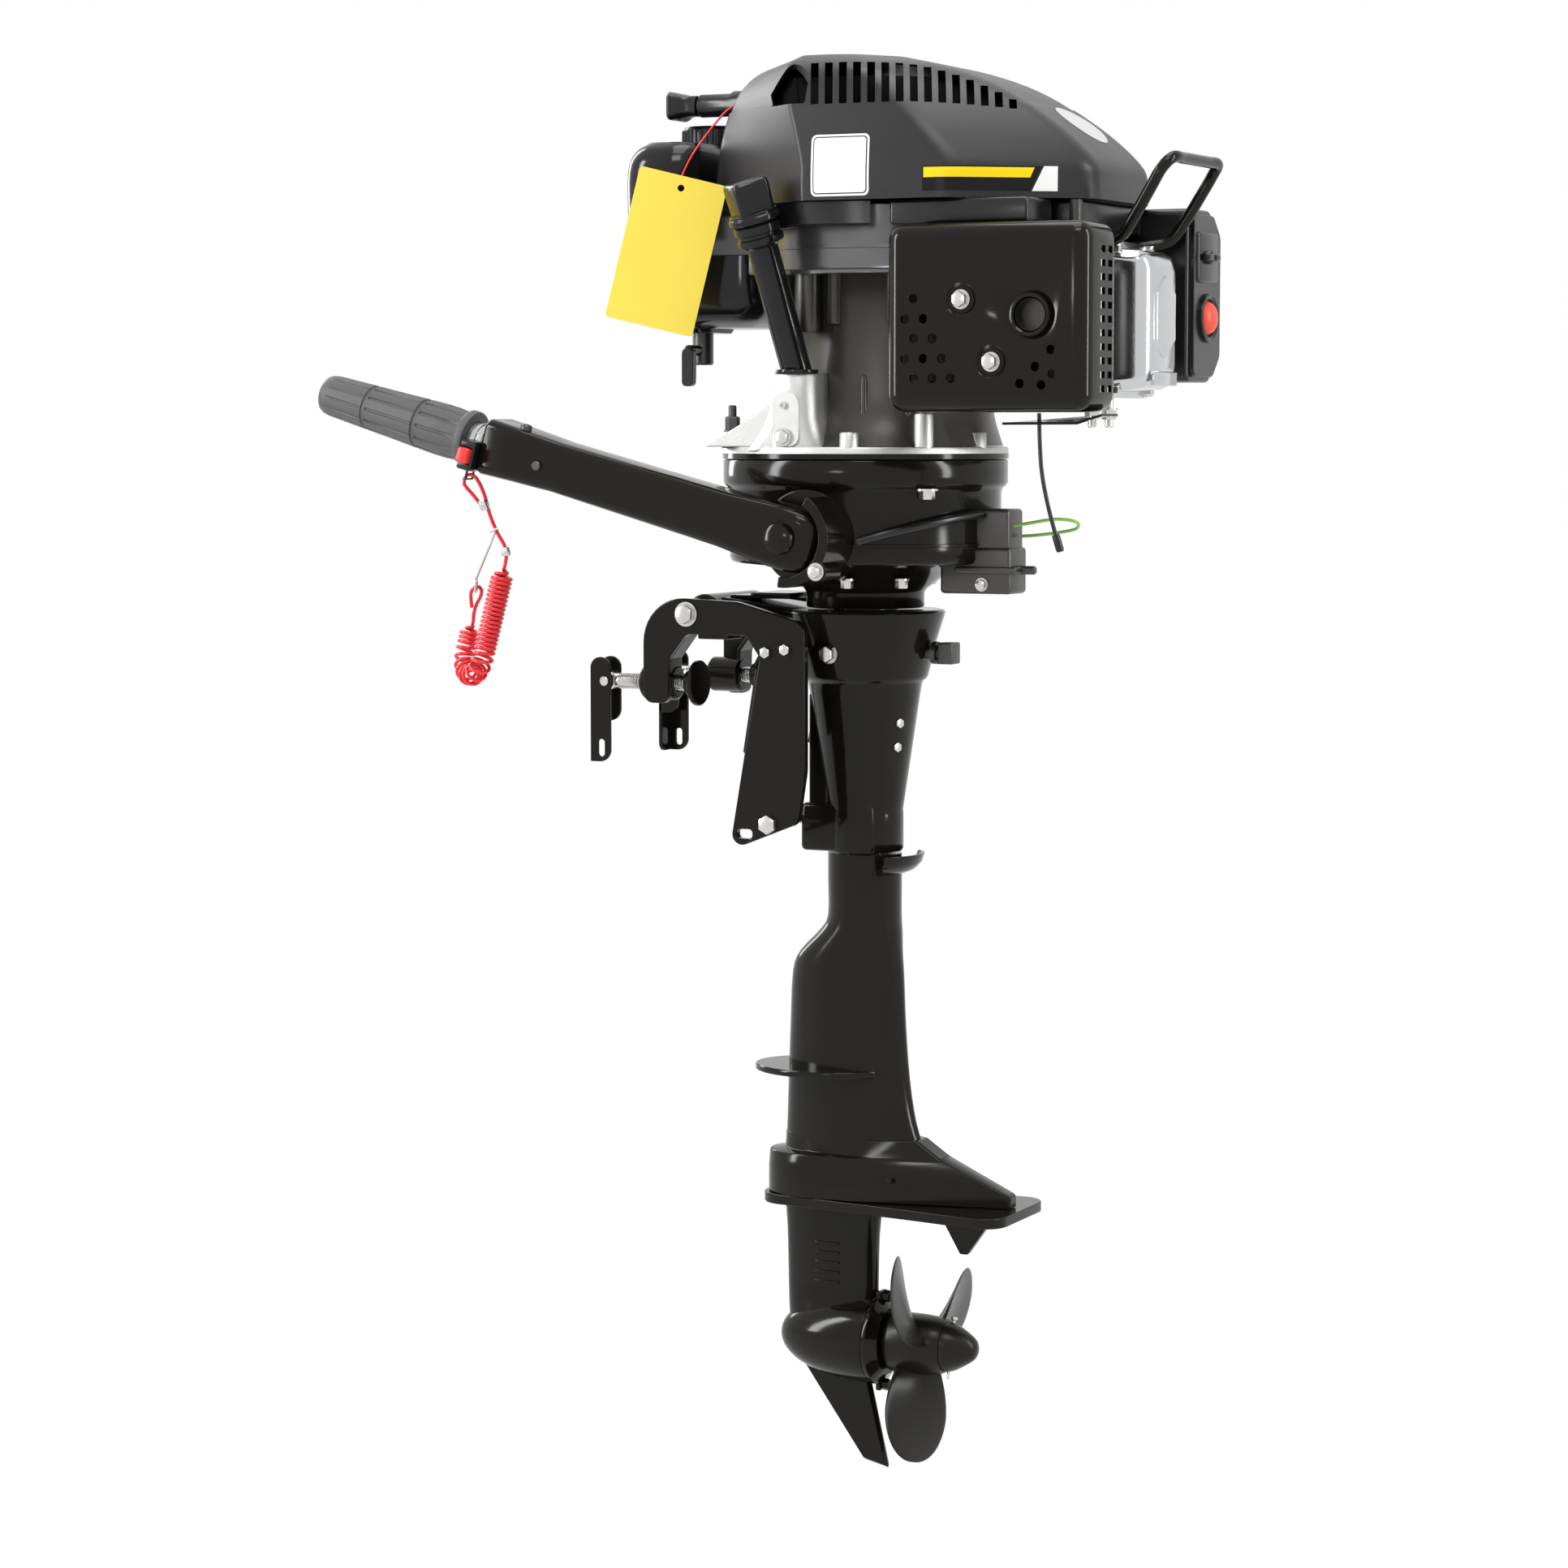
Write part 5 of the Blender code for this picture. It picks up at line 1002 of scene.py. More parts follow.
trim(tank_fittings, "tank_fittings", STEER, DARK_STEEL, "fuel_tank", 0.4)
tank_bolts = bmesh.new()
hexagon_bolt(tank_bolts, TANK_BOLT, (0, -1, 0), 9.0, 4.6, 7.0)
trim(tank_bolts, "tank_bolts", STEER, PLATED_STEEL, "fuel_tank")
cap = bmesh.new()
turn_up(cap, FUEL_CAP, (FUEL_CAP_X, FUEL_CAP_Y, 0), UPRIGHT, 72)
for x, y in circle(CAP_RIB_OUT, CAP_RIBS):
    turn_up(cap, CAP_RIB, (FUEL_CAP_X + x, FUEL_CAP_Y + y, 0), UPRIGHT, 8)
stand_in(cap, "tank_cap", STEER, BLACK_MOULDING, "fuel_cap", smooth=40.0)
tap = bmesh.new()
turn_up(tap, rod(4, -24, -8.6), (TAP_X, 0, TAP_Z), (0, 1, 0), 24)
plate(tap, soft_outline(TAP_LEVER, 6), -26, -19.4)
stand_in(tap, "tap_lever", STEER, BLACK_MOULDING, "fuel_tap_lever", 0.8, 3)

# Oil filler: a black moulded neck that leans up to port out of the sump boss, with a ringed collar and a
# square cap that pulls out with the dipstick.

NECK = ((4.5, -4), (11.2, -4), (11.2, 94), (13.0, 96), (16.4, 96.6), (17.0, 98), (17.0, 101.4), (15.6, 102.2),
        (15.6, 104.4), (17.0, 105.2), (17.0, 110.6), (16.2, 111.5), (4.5, 111.5), (4.5, -4))
NECK_SEAT = ((10, 196.2), (15.4, 196.2), (15.8, 197.0), (15.4, 198.8), (10, 198.8), (10, 196.2))
CAP_SKIRT = ((0, 112.4), (17.6, 112.4), (18.8, 113.4), (18.8, 117), (17.6, 118), (17.6, 120), (0, 120))
CAP_FLATS = [(13.2, -13.2, 4), (13.2, 13.2, 4), (-13.2, 13.2, 4), (-13.2, -13.2, 4)]
CAP_STEPS = ((119.0, 1.0), (139.0, 1.06), (142.0, 1.0), (143.0, 0.9))
oil_way = (OIL_TOP - OIL_FOOT).normalized()
oil_side = oil_way.orthogonal().normalized()
oil_over = oil_way.cross(oil_side)
neck = bmesh.new()
turn_up(neck, NECK, OIL_FOOT, oil_way, 48)
turn_up(neck, NECK_SEAT, (OIL_FOOT.x, OIL_FOOT.y, 0), UPRIGHT, 48)
stand_in(neck, "filler_neck", STEER, TANK_BLACK, "oil_filler_tube", smooth=40.0)
stopper = bmesh.new()
turn_up(stopper, CAP_SKIRT, OIL_FOOT, oil_way, 56)
turn_up(stopper, rod(3, 20, 114), OIL_FOOT, oil_way, 20)
loft(stopper, [[OIL_FOOT + oil_way * along + (oil_side * p.x + oil_over * p.y) * reach
                for p in soft_outline(CAP_FLATS, 6)] for along, reach in CAP_STEPS])
stand_in(stopper, "filler_cap", STEER, TANK_BLACK, "oil_cap", 0.5, 2, 40.0)

# Cowl: the blower's cover, moulded in charcoal plastic with a fine grain. It has a blunt nose with a window
# for the starter rope, flat sides with a row of cooling slots under the roof's edge, and a tail that falls
# away aft.

CHARCOAL = finish("charcoal_moulding", (0.0135, 0.0130, 0.0137), 0.36, specular=0.36, drift=0.15,
                  grain=2200.0, depth=0.1)
# A near-black matte finish for the sheet of painted shade that is set inside the cowl behind its slots.
SLOT_SHADE_BLACK = finish("painted_slot_shade", (0.003, 0.003, 0.003), 0.85, specular=0.05, depth=0.02)
COWL_WALL = 3.0
COWL_LEVELS = ((318, -106, 204, 121), (331, -106, 203.4, 121.4), (344, -105, 201, 121),
               (364, -101.5, 181, 119.4), (385, -96, 152, 115.6), (403, -88, 120.5, 109.4),
               (416, -74, 85, 98), (425, -52, 46, 74))
BAND_ROW, BAND_STEP, BAND_TALL = 4.16, 1.3, 0.02
WAIST_SHARE, HIP_SHARE, NOSE_SHARE, HIP_WIDE, TAIL_SHARE = 0.36, 0.72, 0.36, 0.98, 0.46
NOSE_ROUND, CREASE_ROUND, HIP_ROUND, COWL_TAIL_ROUND = 22.0, 6.5, 34.0, 24.0


def cowl_height(row):
    return between([level[0] for level in COWL_LEVELS], row)


def cowl_plan(row, inset, z):
    """The cover's outline at a row of its levels: blunt nose, creased waist, flat sides and a narrow tail."""
    front, aft, wide = (between([level[i] for level in COWL_LEVELS], row) for i in (1, 2, 3))
    inset += BAND_STEP * (row > BAND_ROW)
    front, aft, wide = front + inset, aft - inset, wide - inset
    waist, hip = front + (aft - front) * WAIST_SHARE, front + (aft - front) * HIP_SHARE
    port = [(front, -wide * NOSE_SHARE, NOSE_ROUND - inset), (waist, -wide, CREASE_ROUND - inset),
            (hip, -wide * HIP_WIDE, HIP_ROUND), (aft, -wide * TAIL_SHARE, COWL_TAIL_ROUND)]
    starboard = [(x, -y, corner) for x, y, corner in reversed(port)]
    return [(p.x, p.y, z) for p in soft_outline(port + starboard, 7)]


def cowl_shell():
    bm = bmesh.new()
    rows = [i / 4 for i in range(4 * (len(COWL_LEVELS) - 1) + 1)]
    rows = sorted(rows + [BAND_ROW, BAND_ROW + BAND_TALL])
    outside = loft(bm, [cowl_plan(row, 0.0, cowl_height(row)) for row in rows], False)
    heights = [cowl_height(row) - (COWL_WALL if row else 0.0) for row in rows]
    inside = loft(bm, [cowl_plan(row, COWL_WALL, z) for row, z in zip(rows, heights)], False)
    bmesh.ops.bridge_loops(bm, edges=outside[0] + inside[0])
    for top in (outside[-1], inside[-1]):
        bmesh.ops.contextual_create(bm, geom=top)
    return bm


SLOT_COUNT, SLOT_FIRST, SLOT_PITCH, SLOT_WIDE = 15, -36.9, 10.06, 5.6
SLOT_FOOT, SLOT_TOP, SLOT_FALL, SLOT_SINK = 386.0, 417.0, 27.6, 4.0
LEVEL_SLOTS, FALL_POWER = 6, 1.6
SLOT_RAKE = math.radians(25.0)
SLOT_OUT, SLOT_DEEP = -165.0, -74.0
across = Vector((math.cos(SLOT_RAKE), math.sin(SLOT_RAKE)))
inward = Vector((-math.sin(SLOT_RAKE), math.cos(SLOT_RAKE)))

cowl = solid(cowl_shell(), "cowl_cover", STEER)
slots = bmesh.new()
for side in (-1, 1):
    for i in range(SLOT_COUNT):
        past = max(0.0, (i - LEVEL_SLOTS) / (SLOT_COUNT - 1 - LEVEL_SLOTS))
        top = SLOT_TOP - SLOT_FALL * past ** FALL_POWER
        foot = SLOT_FOOT - SLOT_SINK * past ** 2
        ends = []
        for deep in (SLOT_OUT, SLOT_DEEP):
            near, far = (across * (SLOT_FIRST + SLOT_PITCH * i + edge * SLOT_WIDE / 2) + inward * deep
                         for edge in (-1, 1))
            corners = ((near, foot), (far, foot), (far, top), (near, top))
            ends.append([(p.x, -side * p.y, z) for p, z in corners])
        loft(slots, ends)
carve(cowl, slots, STEER)

POCKET = ((-30.0, 387.0), (4.5, 387.0), (4.5, 424.0), (-6.0, 424.0), (-34.0, 396.0))
POCKET_LEAN, POCKET_WALL, POCKET_OUT = 0.8, 105.0, 150.0
WINDOW_LOW, WINDOW_HIGH = (-125, -30, 400), (-70, -6, 415)
for side in (-1, 1):
    carve(cowl, drawn(loft, [[(x, side * POCKET_OUT, z) for x, z in POCKET],
                             [(x, side * (POCKET_WALL + POCKET_LEAN * min(0.0, x)), z) for x,
                              z in POCKET]]), STEER)
carve(cowl, drawn(brick, WINDOW_LOW, WINDOW_HIGH), STEER)
dress(cowl, CHARCOAL, "cowl", ["cowl"], 0.7, 2, 30.0)

# A dark matte sheet inside the cowl behind its slots: painted shade, so that the slots read black.
SHADE_SHEET_INSET, SHADE_SHEET_DROP, SHADE_SHEET_ROWS = 9.0, 4.0, (3.2, 3.8, 4.4, 5.0, 5.6)
trim(drawn(loft, [cowl_plan(row, SHADE_SHEET_INSET, cowl_height(row) - SHADE_SHEET_DROP) for row in SHADE_SHEET_ROWS]),
     "slot_shade_sheet", STEER, SLOT_SHADE_BLACK, "cowl", smooth=30.0)

# Stickers on the cowl: a blank white square with a dark line round it, a plain yellow and black strip with
# a white end, and a bare oval plate let into the tail. They are thin film, laid on the moulding.

FILM_LIFT, FILM_START, FILM_RINGS = 0.25, 600.0, 12
PORT, DOWN = (0.0, 1.0, 0.0), (0.0, 0.0, -1.0)
WHITE, FILM_BLACK, YELLOW = (0.80, 0.80, 0.79), (0.003, 0.003, 0.003), (0.86, 0.62, 0.008)
SQUARES = (("square_film", WHITE, rectangle(13, 320.5, 58, 364, 4), 1.0),
           ("square_line", (0.02, 0.02, 0.02), rectangle(14.6, 322, 56.4, 362.5, 3), 1.6),
           ("square_field", WHITE, rectangle(15.4, 322.8, 55.6, 361.7, 2.4), 2.2))
STRIPS = (("strip_black", FILM_BLACK, [(99, 322.6), (166, 322.6), (173, 340), (99, 340)], 1.0),
          ("strip_yellow", YELLOW, [(100, 332), (166, 332), (168.5, 339), (100, 339)], 1.8),
          ("strip_white", WHITE, [(167, 322.6), (182, 322.6), (182, 340), (174, 340)], 1.0))
OVAL_X, OVAL_Y, OVAL_LONG, OVAL_WIDE, OVAL_GREY = 166.0, 12.0, 18.0, 24.0, (0.42, 0.42, 0.43)
cowl_tree = BVHTree.FromObject(cowl, bpy.context.evaluated_depsgraph_get())


def laid_film(name, colour, outline, way, lift, roughness=0.35):
    """A patch of film: an outline dropped along a direction on to the cowl, with rings of points inside."""
    film = bmesh.new()
    aim = Vector(way)
    middle = sum((Vector(p) for p in outline), Vector((0, 0, 0))) / len(outline)
    rings = []
    for share in [1.0 - i / FILM_RINGS for i in range(FILM_RINGS)]:
        starts = [(STEER @ middle.lerp(Vector(point), share) - aim * FILM_START) * MM for point in outline]
        rings.append([cowl_tree.ray_cast(start, aim)[0] / MM - aim * FILM_LIFT * lift for start in starts])
    loops = loft(film, rings, False)
    bmesh.ops.contextual_create(film, geom=loops[-1])
    look = finish(name, colour, roughness, specular=0.2, drift=0.05, depth=0.0)
    trim(film, name, CLAMP, look, "cowl", smooth=60.0)


def fine_side(corners, count):
    """An outline on the cowl's side, cut into short stretches so that it follows a curved surface."""
    points = []
    for a, b in zip(corners, corners[1:] + corners[:1]):
        points += [(a[0] + (b[0] - a[0]) * i / count, 0.0, a[1] + (b[1] - a[1]) * i / count)
                   for i in range(count)]
    return points


for name, colour, corners, lift in SQUARES:
    laid_film(name, colour, fine_side([(p.x, p.y) for p in soft_outline(corners, 6)], 8), PORT, lift)
for name, colour, corners, lift in STRIPS:
    laid_film(name, colour, fine_side(corners, 14), PORT, lift)
oval = [(OVAL_X + OVAL_LONG * a, OVAL_Y + OVAL_WIDE * b, 0.0) for a, b in circle(1.0, 48)]
laid_film("tail_oval", OVAL_GREY, oval, DOWN, 1.0, 0.2)

# Starter: a round rope guide on the cowl's nose and the pull handle in smooth black plastic, with the rope
# running from inside the guide to the handle.

STARTER_Z = 398.0
GUIDE = ((4.2, -138), (7.2, -138), (8.6, -136.5), (8.6, -112), (10.4, -108), (10.4, -86), (4.2, -86),
         (4.2, -138))
HANDLE_ROWS = ((-138.4, 8.6, 7.6), (-145, 8.6, 7.6), (-149, 11.0, 8.2), (-153, 14.6, 9.6), (-157, 16.4, 10.6),
               (-159, 15.4, 9.8))
HANDLE_ROUND = 4.2
trim(drawn(turn_up, GUIDE, (0, 0, STARTER_Z), AFTWARD, 32), "rope_guide", STEER, BLACK_MOULDING, "cowl", 0.4)
handle = bmesh.new()
handle_sections = []
for x, half, tall in HANDLE_ROWS:
    outline = soft_outline(rectangle(-half, -tall, half, tall, HANDLE_ROUND), 5)
    handle_sections.append([(x, p.x, STARTER_Z + p.y) for p in outline])
loft(handle, handle_sections)
stand_in(handle, "pull_handle", STEER, BLACK_MOULDING, "starter_grip", 0.5)

ROPE_HELD, ROPE_TIED, ROPE_RADIUS, ROPE_RINGS = -104.0, -137.6, 2.0, 48
rope_places = [ROPE_HELD + (ROPE_TIED - ROPE_HELD) * i / ROPE_RINGS for i in range(ROPE_RINGS + 1)]
rope = solid(drawn(loft, [[(x, y, STARTER_Z + z) for y, z in circle(ROPE_RADIUS, 16)]
                          for x in rope_places]), "pull_rope", STEER)
rope.data.shade_smooth()
rope.data.set_sharp_from_angle(angle=math.radians(60.0))
rope.data.materials.append(BLACK_MOULDING)
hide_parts("starter_rope")
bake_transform(rope)

# Muffler guard: a pressed steel cover in gloss black, held by two bolts in dimples. Gas leaves by a lipped
# outlet, and heat by round holes in its face and two columns of square ones in its aft side.

GUARD_LOW, GUARD_HIGH, GUARD_WALL, GUARD_OPEN = (89.0, -163.0, 167.5), (241.5, -104.0, 298.0), 2.5, 60.0
GUARD_BOLTS = ((147.6, 245.0), (170.3, 202.0))
VENTS = ((112, 246), (105.5, 232), (119.5, 232), (112.5, 218.5), (126.5, 218.5), (105.5, 204.5),
         (119.5, 204.5), (133.5, 204.5), (112.5, 191), (126.5, 191), (140.5, 191), (215, 210),
         (203.5, 198.5), (216, 193.5), (192, 187), (208, 186))
VENT_RADIUS, OUTLET_RADIUS, CUT_HALF = 3.3, 12.8, 6.0
SQUARE_ROWS, SQUARE_FOOT, SQUARE_PITCH, SQUARE_COLUMNS = 11, 183.5, 9.54, (-134.0, -121.0)
SQUARE_HALF = Vector((8.0, 3.9, 2.4))
BOLT_DENT = ((0, -6), (11.6, -6), (11.6, 0.0), (9.4, 1.7), (0, 1.7))
OUTLET_DENT = ((0, -6), (19.6, -6), (19.6, 0.0), (17.0, 1.8), (0, 1.8))
OUTLET_LIP = ((12.2, 2.0), (14.8, 2.0), (15.4, 0.2), (14.8, -1.2), (13.4, -1.6), (12.2, -0.8), (12.2, 26.0),
              (11.2, 26.0), (11.2, -0.2), (12.2, 2.0))
APRON_LINE = ((172, -146, 160.6), (228, -146, 160.6), (243, -138, 166.5), (243, -108, 166.5),
              (160, -108, 160.6))
APRON_THICK = 1.8
face_y = GUARD_LOW[1]
OUTLET = (199.5, face_y, 234.0)
BEYOND_FACE = (0, 1, 0)

guard = solid(drawn(softened_box, GUARD_LOW, GUARD_HIGH, 12.0, 6), "guard_cover", STEER)
carve(guard, drawn(softened_box, [value + GUARD_WALL for value in GUARD_LOW],
                   (GUARD_HIGH[0] - GUARD_WALL, GUARD_HIGH[1] + GUARD_OPEN, GUARD_HIGH[2] - GUARD_WALL),
                   9.5, 5), STEER)
dents = bmesh.new()
for x, z in GUARD_BOLTS:
    turn_up(dents, BOLT_DENT, (x, face_y, z), BEYOND_FACE, 40)
turn_up(dents, OUTLET_DENT, OUTLET, BEYOND_FACE, 48)
carve(guard, dents, STEER)
holes = bmesh.new()
for x, z in VENTS:
    turn_up(holes, rod(VENT_RADIUS, -CUT_HALF, CUT_HALF), (x, face_y, z), BEYOND_FACE, 20)
turn_up(holes, rod(OUTLET_RADIUS, -CUT_HALF, CUT_HALF), OUTLET, BEYOND_FACE, 40)
for row in range(SQUARE_ROWS):
    for y in SQUARE_COLUMNS:
        middle = Vector((GUARD_HIGH[0], y, SQUARE_FOOT + SQUARE_PITCH * row))
        brick(holes, middle - SQUARE_HALF, middle + SQUARE_HALF)
carve(guard, holes, STEER)
dress(guard, GLOSS_BLACK, "muffler_guard", ["muffler_guard"], 0.6, 2)

trim(drawn(turn_up, OUTLET_LIP, OUTLET, BEYOND_FACE, 40), "outlet_lip", STEER, GLOSS_BLACK, "muffler_guard")
guard_bolts = bmesh.new()
for x, z in GUARD_BOLTS:
    hexagon_bolt(guard_bolts, (x, face_y + 1.7, z), (0, -1, 0), 9.6, 4.4, 6.8)
trim(guard_bolts, "guard_bolts", STEER, PLATED_STEEL, "muffler_guard")
apron = bmesh.new()
apron_face = apron.faces.new([apron.verts.new(point) for point in APRON_LINE])
apron_lip = bmesh.ops.extrude_face_region(apron, geom=[apron_face])["geom"]
apron_verts = [part for part in apron_lip if isinstance(part, bmesh.types.BMVert)]
bmesh.ops.translate(apron, vec=(0, 0, -APRON_THICK), verts=apron_verts)
trim(apron, "heat_apron", STEER, GLOSS_BLACK, "muffler_guard", 0.4)

# Tiller: a cast arm in gloss black that ends in a square socket, a bright sleeve, and the twist grip in
# grey rubber with long grooves between its rings. The stop switch sits under the sleeve with its red button
# to port.

TILLER_REST = math.radians(15.0)
TILLER = STEER @ Matrix.Translation((0.0, TILLER_Y, TILLER_Z)) @ Matrix.Rotation(TILLER_REST, 4, "Y")
GRIP_RUBBER = finish("grip_rubber", (0.072, 0.070, 0.072), 0.5, specular=0.4, drift=0.2, grain=2600.0,
                     depth=0.16)
RED_PLASTIC = finish("red_plastic", (0.62, 0.022, 0.02), 0.3, drift=0.1, depth=0.01)
ARM_ROWS = ((24.6, 6, 9, 4), (23.6, 11, 14, 7), (20.5, 15.4, 18.6, 9), (14.5, 18.2, 21.6, 9),
            (6, 19, 22.8, 8), (-10, 19, 22.6, 8), (-50, 18.6, 20, 8), (-123, 18.3, 19.2, 8),
            (-194, 18, 18.5, 8), (-199, 18.3, 18.8, 8), (-225, 19.6, 19.7, 8), (-251.4, 21, 21, 8),
            (-253.4, 20.2, 20.2, 7.4), (-254, 18.8, 18.8, 7))
TOP_SCREW = ((0, 19.6), (4.4, 19.6), (4.4, 22.6), (3.4, 23.6), (1.8, 23.6), (1.8, 21.4), (0, 21.4))
SIDE_SCREW = ((0, -17), (3.6, -17), (3.6, -20.4), (2.8, -21.2), (0, -21.2))
TOP_SCREW_AT, SIDE_SCREW_AT = (-226, -9, 0), (-205, 0, -2)
SLEEVE = ((6.4, -254.4), (14, -254.4), (14, -262), (13.2, -262.6), (13.2, -263.6), (14, -264.2), (14, -270.6),
          (6.4, -270.6), (6.4, -254.4))
stand_in(drawn(loft, [[(x, p.x, p.y) for p in soft_outline(rectangle(-wide, -tall, wide, tall, corner), 7)]
                      for x, wide, tall, corner in ARM_ROWS]), "arm_casting", TILLER, GLOSS_BLACK,
         "tiller_arm", smooth=50.0)
arm_screws = bmesh.new()
turn_up(arm_screws, TOP_SCREW, TOP_SCREW_AT, UPRIGHT, 28)
turn_up(arm_screws, SIDE_SCREW, SIDE_SCREW_AT, (0, 1, 0), 24)
trim(arm_screws, "socket_screws", TILLER, DARK_STEEL, "tiller_arm")
stand_in(drawn(turn_up, SLEEVE, (0, 0, 0), AFTWARD, 48), "bright_sleeve", TILLER, CHROME, "grip_sleeve",
         smooth=30.0)

GRIP_ROWS = ((19.2, -271.0, 0), (20.6, -271.8, 0), (21, -273.6, 0), (21, -277, 0), (20.2, -278.4, 0),
             (18.6, -279.4, 0), (18.6, -281, 1), (19.4, -290, 1), (19.5, -300, 1), (19.0, -313, 1),
             (19.0, -313.6, 0), (17.8, -314.2, 0), (17.8, -317.2, 0), (18.8, -317.8, 0), (18.8, -318.4, 1),
             (17.6, -345, 1), (17.1, -359.4, 1), (17.1, -360, 0), (16.0, -360.6, 0), (16.0, -363.4, 0),
             (16.9, -364, 0), (16.9, -364.6, 1), (15.7, -393, 1), (15.5, -397, 0), (14.9, -401, 0),
             (13.6, -403.6, 0), (11.6, -405.0, 0))
GRIP_FLUTES, FLUTE_POINTS, FLUTE_DEEP, FLUTE_EDGE = 12, 14, 1.0, 0.82
GRIP_PLUG = ((0, -405), (7.5, -405), (8.2, -404.6), (8.2, -403), (0, -403))
grip_turns = [2 * math.pi * k / (GRIP_FLUTES * FLUTE_POINTS) for k in range(GRIP_FLUTES * FLUTE_POINTS)]
grip_sections = []
for radius, x, groove in GRIP_ROWS:
    reaches = [radius - groove * FLUTE_DEEP * (math.cos(GRIP_FLUTES * turn) > FLUTE_EDGE)
               for turn in grip_turns]
    grip_sections.append([(x, reach * math.cos(turn), reach * math.sin(turn))
                          for reach, turn in zip(reaches, grip_turns)])
grip = bmesh.new()
loft(grip, grip_sections)
turn_up(grip, rod(6, -292, -240.2), (0, 0, 0), AFTWARD, 24)
stand_in(grip, "twist_grip", TILLER, GRIP_RUBBER, "throttle_grip", smooth=42.0)
trim(drawn(turn_up, GRIP_PLUG, (0, 0, 0), AFTWARD, 32), "grip_plug", TILLER, BLACK_MOULDING,
     "throttle_grip", smooth=40.0)

SWITCH_RING = ((14.1, -254.4), (16.2, -254.4), (16.6, -255), (16.6, -256.6), (16.2, -257.2), (14.1, -257.2),
               (14.1, -254.4))
BUTTON_LOW, BUTTON_HIGH = (-265.5, -33, -14.6), (-255.9, -19.8, -3.4)
dress(skin("stop_switch"), BLACK_MOULDING, "stop_switch", ["stop_switch"], 0.5)
trim(drawn(turn_up, SWITCH_RING, (0, 0, 0), AFTWARD, 48), "switch_ring", TILLER, BLACK_MOULDING,
     "stop_switch", smooth=35.0)
stand_in(drawn(softened_box, BUTTON_LOW, BUTTON_HIGH, 1.6, 3), "red_button", TILLER, RED_PLASTIC,
         "stop_button", smooth=40.0)

# Lanyard: a red plastic cord that loops through the switch's bail and is closed by bright crimps, a tight
# coil below it that hangs in a U, and a snap hook tied to the coil's free end and clipped round the loop.

CORD_RED = finish("lanyard_plastic", (0.66, 0.012, 0.02), 0.26, drift=0.12, gloss_drift=0.1, depth=0.01)
CORD_D, COIL_R, COIL_PITCH, BEND_PITCH, BEND_R = 2.8, 7.1, 3.3, 6.1, 16.0
CORD_FROM = TILLER @ Vector((-260.0, -16.0, -23.2))
QUARTER = math.radians(25.0)
ASIDE = Vector((math.cos(QUARTER), math.sin(QUARTER), 0.0))
BEYOND = Vector((-math.sin(QUARTER), math.cos(QUARTER), 0.0))
STRAP_RUN = [(10.2, 0, -27), (8.6, 0, -23.5), (2, 0, -15), (-4, 0, -8), (-3.6, 0, -2.2), (0, 0, 0),
             (4, 0, -2), (8.2, 0, -9), (11.6, 0, -18), (13.3, 0, -25), (15.4, 0, -32), (20, 0, -43),
             (25, 0, -52), (27, 0, -58.5), (25.7, 0, -67.3)]
TAIL_RUN = [(-0.8, 28, -108.6), (-0.3, 27.4, -104), (1.8, 25, -98), (6, 19, -90.5), (6.5, 15, -85.5),
            (3, 13.5, -83.5), (-1, 16, -87.5), (-1.8, 21.5, -94), (-1.6, 25, -99.5)]
COIL_TOP, LIMB_FOOT = Vector((25.5, 0.0, -68.0)), Vector((9.0, 0.0, -136.0))
SECOND_LIMB, COIL_STEPS, COIL_TAPER, TAPER_POWER, LOOSE_PITCH, BEND_EASE = 22.0, 16, 6.0, 0.7, 2.5, 8.0
COIL_LEAN = Vector((-0.5, 0.866, 0.0))


def hung(r, d, z):
    return CORD_FROM + ASIDE * r + BEYOND * d + Vector((0.0, 0.0, z))


def coil_frame(s):
    """The coil's centre and its two cross directions at a distance along the hanging U."""
    down = (LIMB_FOOT - COIL_TOP).normalized()
    over = (COIL_LEAN - down * COIL_LEAN.dot(down)).normalized()
    first = (LIMB_FOOT - COIL_TOP).length
    turn = min(max((s - first) / BEND_R, 0.0), math.pi)
    centre = COIL_TOP + down * min(s, first) + over * BEND_R * (1 - math.cos(turn))
    centre += down * BEND_R * math.sin(turn)
    centre -= down * max(0.0, s - first - math.pi * BEND_R)
    return centre, over * math.cos(turn) - down * math.sin(turn), down.cross(over)


def coil_run():
    """One unbroken helix on the U, drawn in to its axis at both ends and opened out round the bend."""
    first = (LIMB_FOOT - COIL_TOP).length
    bend = math.pi * BEND_R
    whole = first + bend + SECOND_LIMB
    points, s, step = [coil_frame(0.0)[0]], CORD_D, 0
    while s < whole - CORD_D:
        ends = max(0.0, min(1.0, (s - CORD_D) / COIL_TAPER, (whole - CORD_D - s) / COIL_TAPER))
        inside = min((s - first + BEND_EASE) / BEND_EASE, (first + bend + BEND_EASE - s) / BEND_EASE)
        inside = min(1.0, max(0.0, inside))
        centre, across, beside = coil_frame(s)
        angle = 2 * math.pi * step / COIL_STEPS
        reach = COIL_R * ends ** TAPER_POWER
        points.append(centre + (across * math.cos(angle) + beside * math.sin(angle)) * reach)
        s += (COIL_PITCH + (BEND_PITCH - COIL_PITCH) * inside + LOOSE_PITCH * (1 - ends)) / COIL_STEPS
        step += 1
    return points + [coil_frame(whole - CORD_D)[0], coil_frame(whole)[0]]


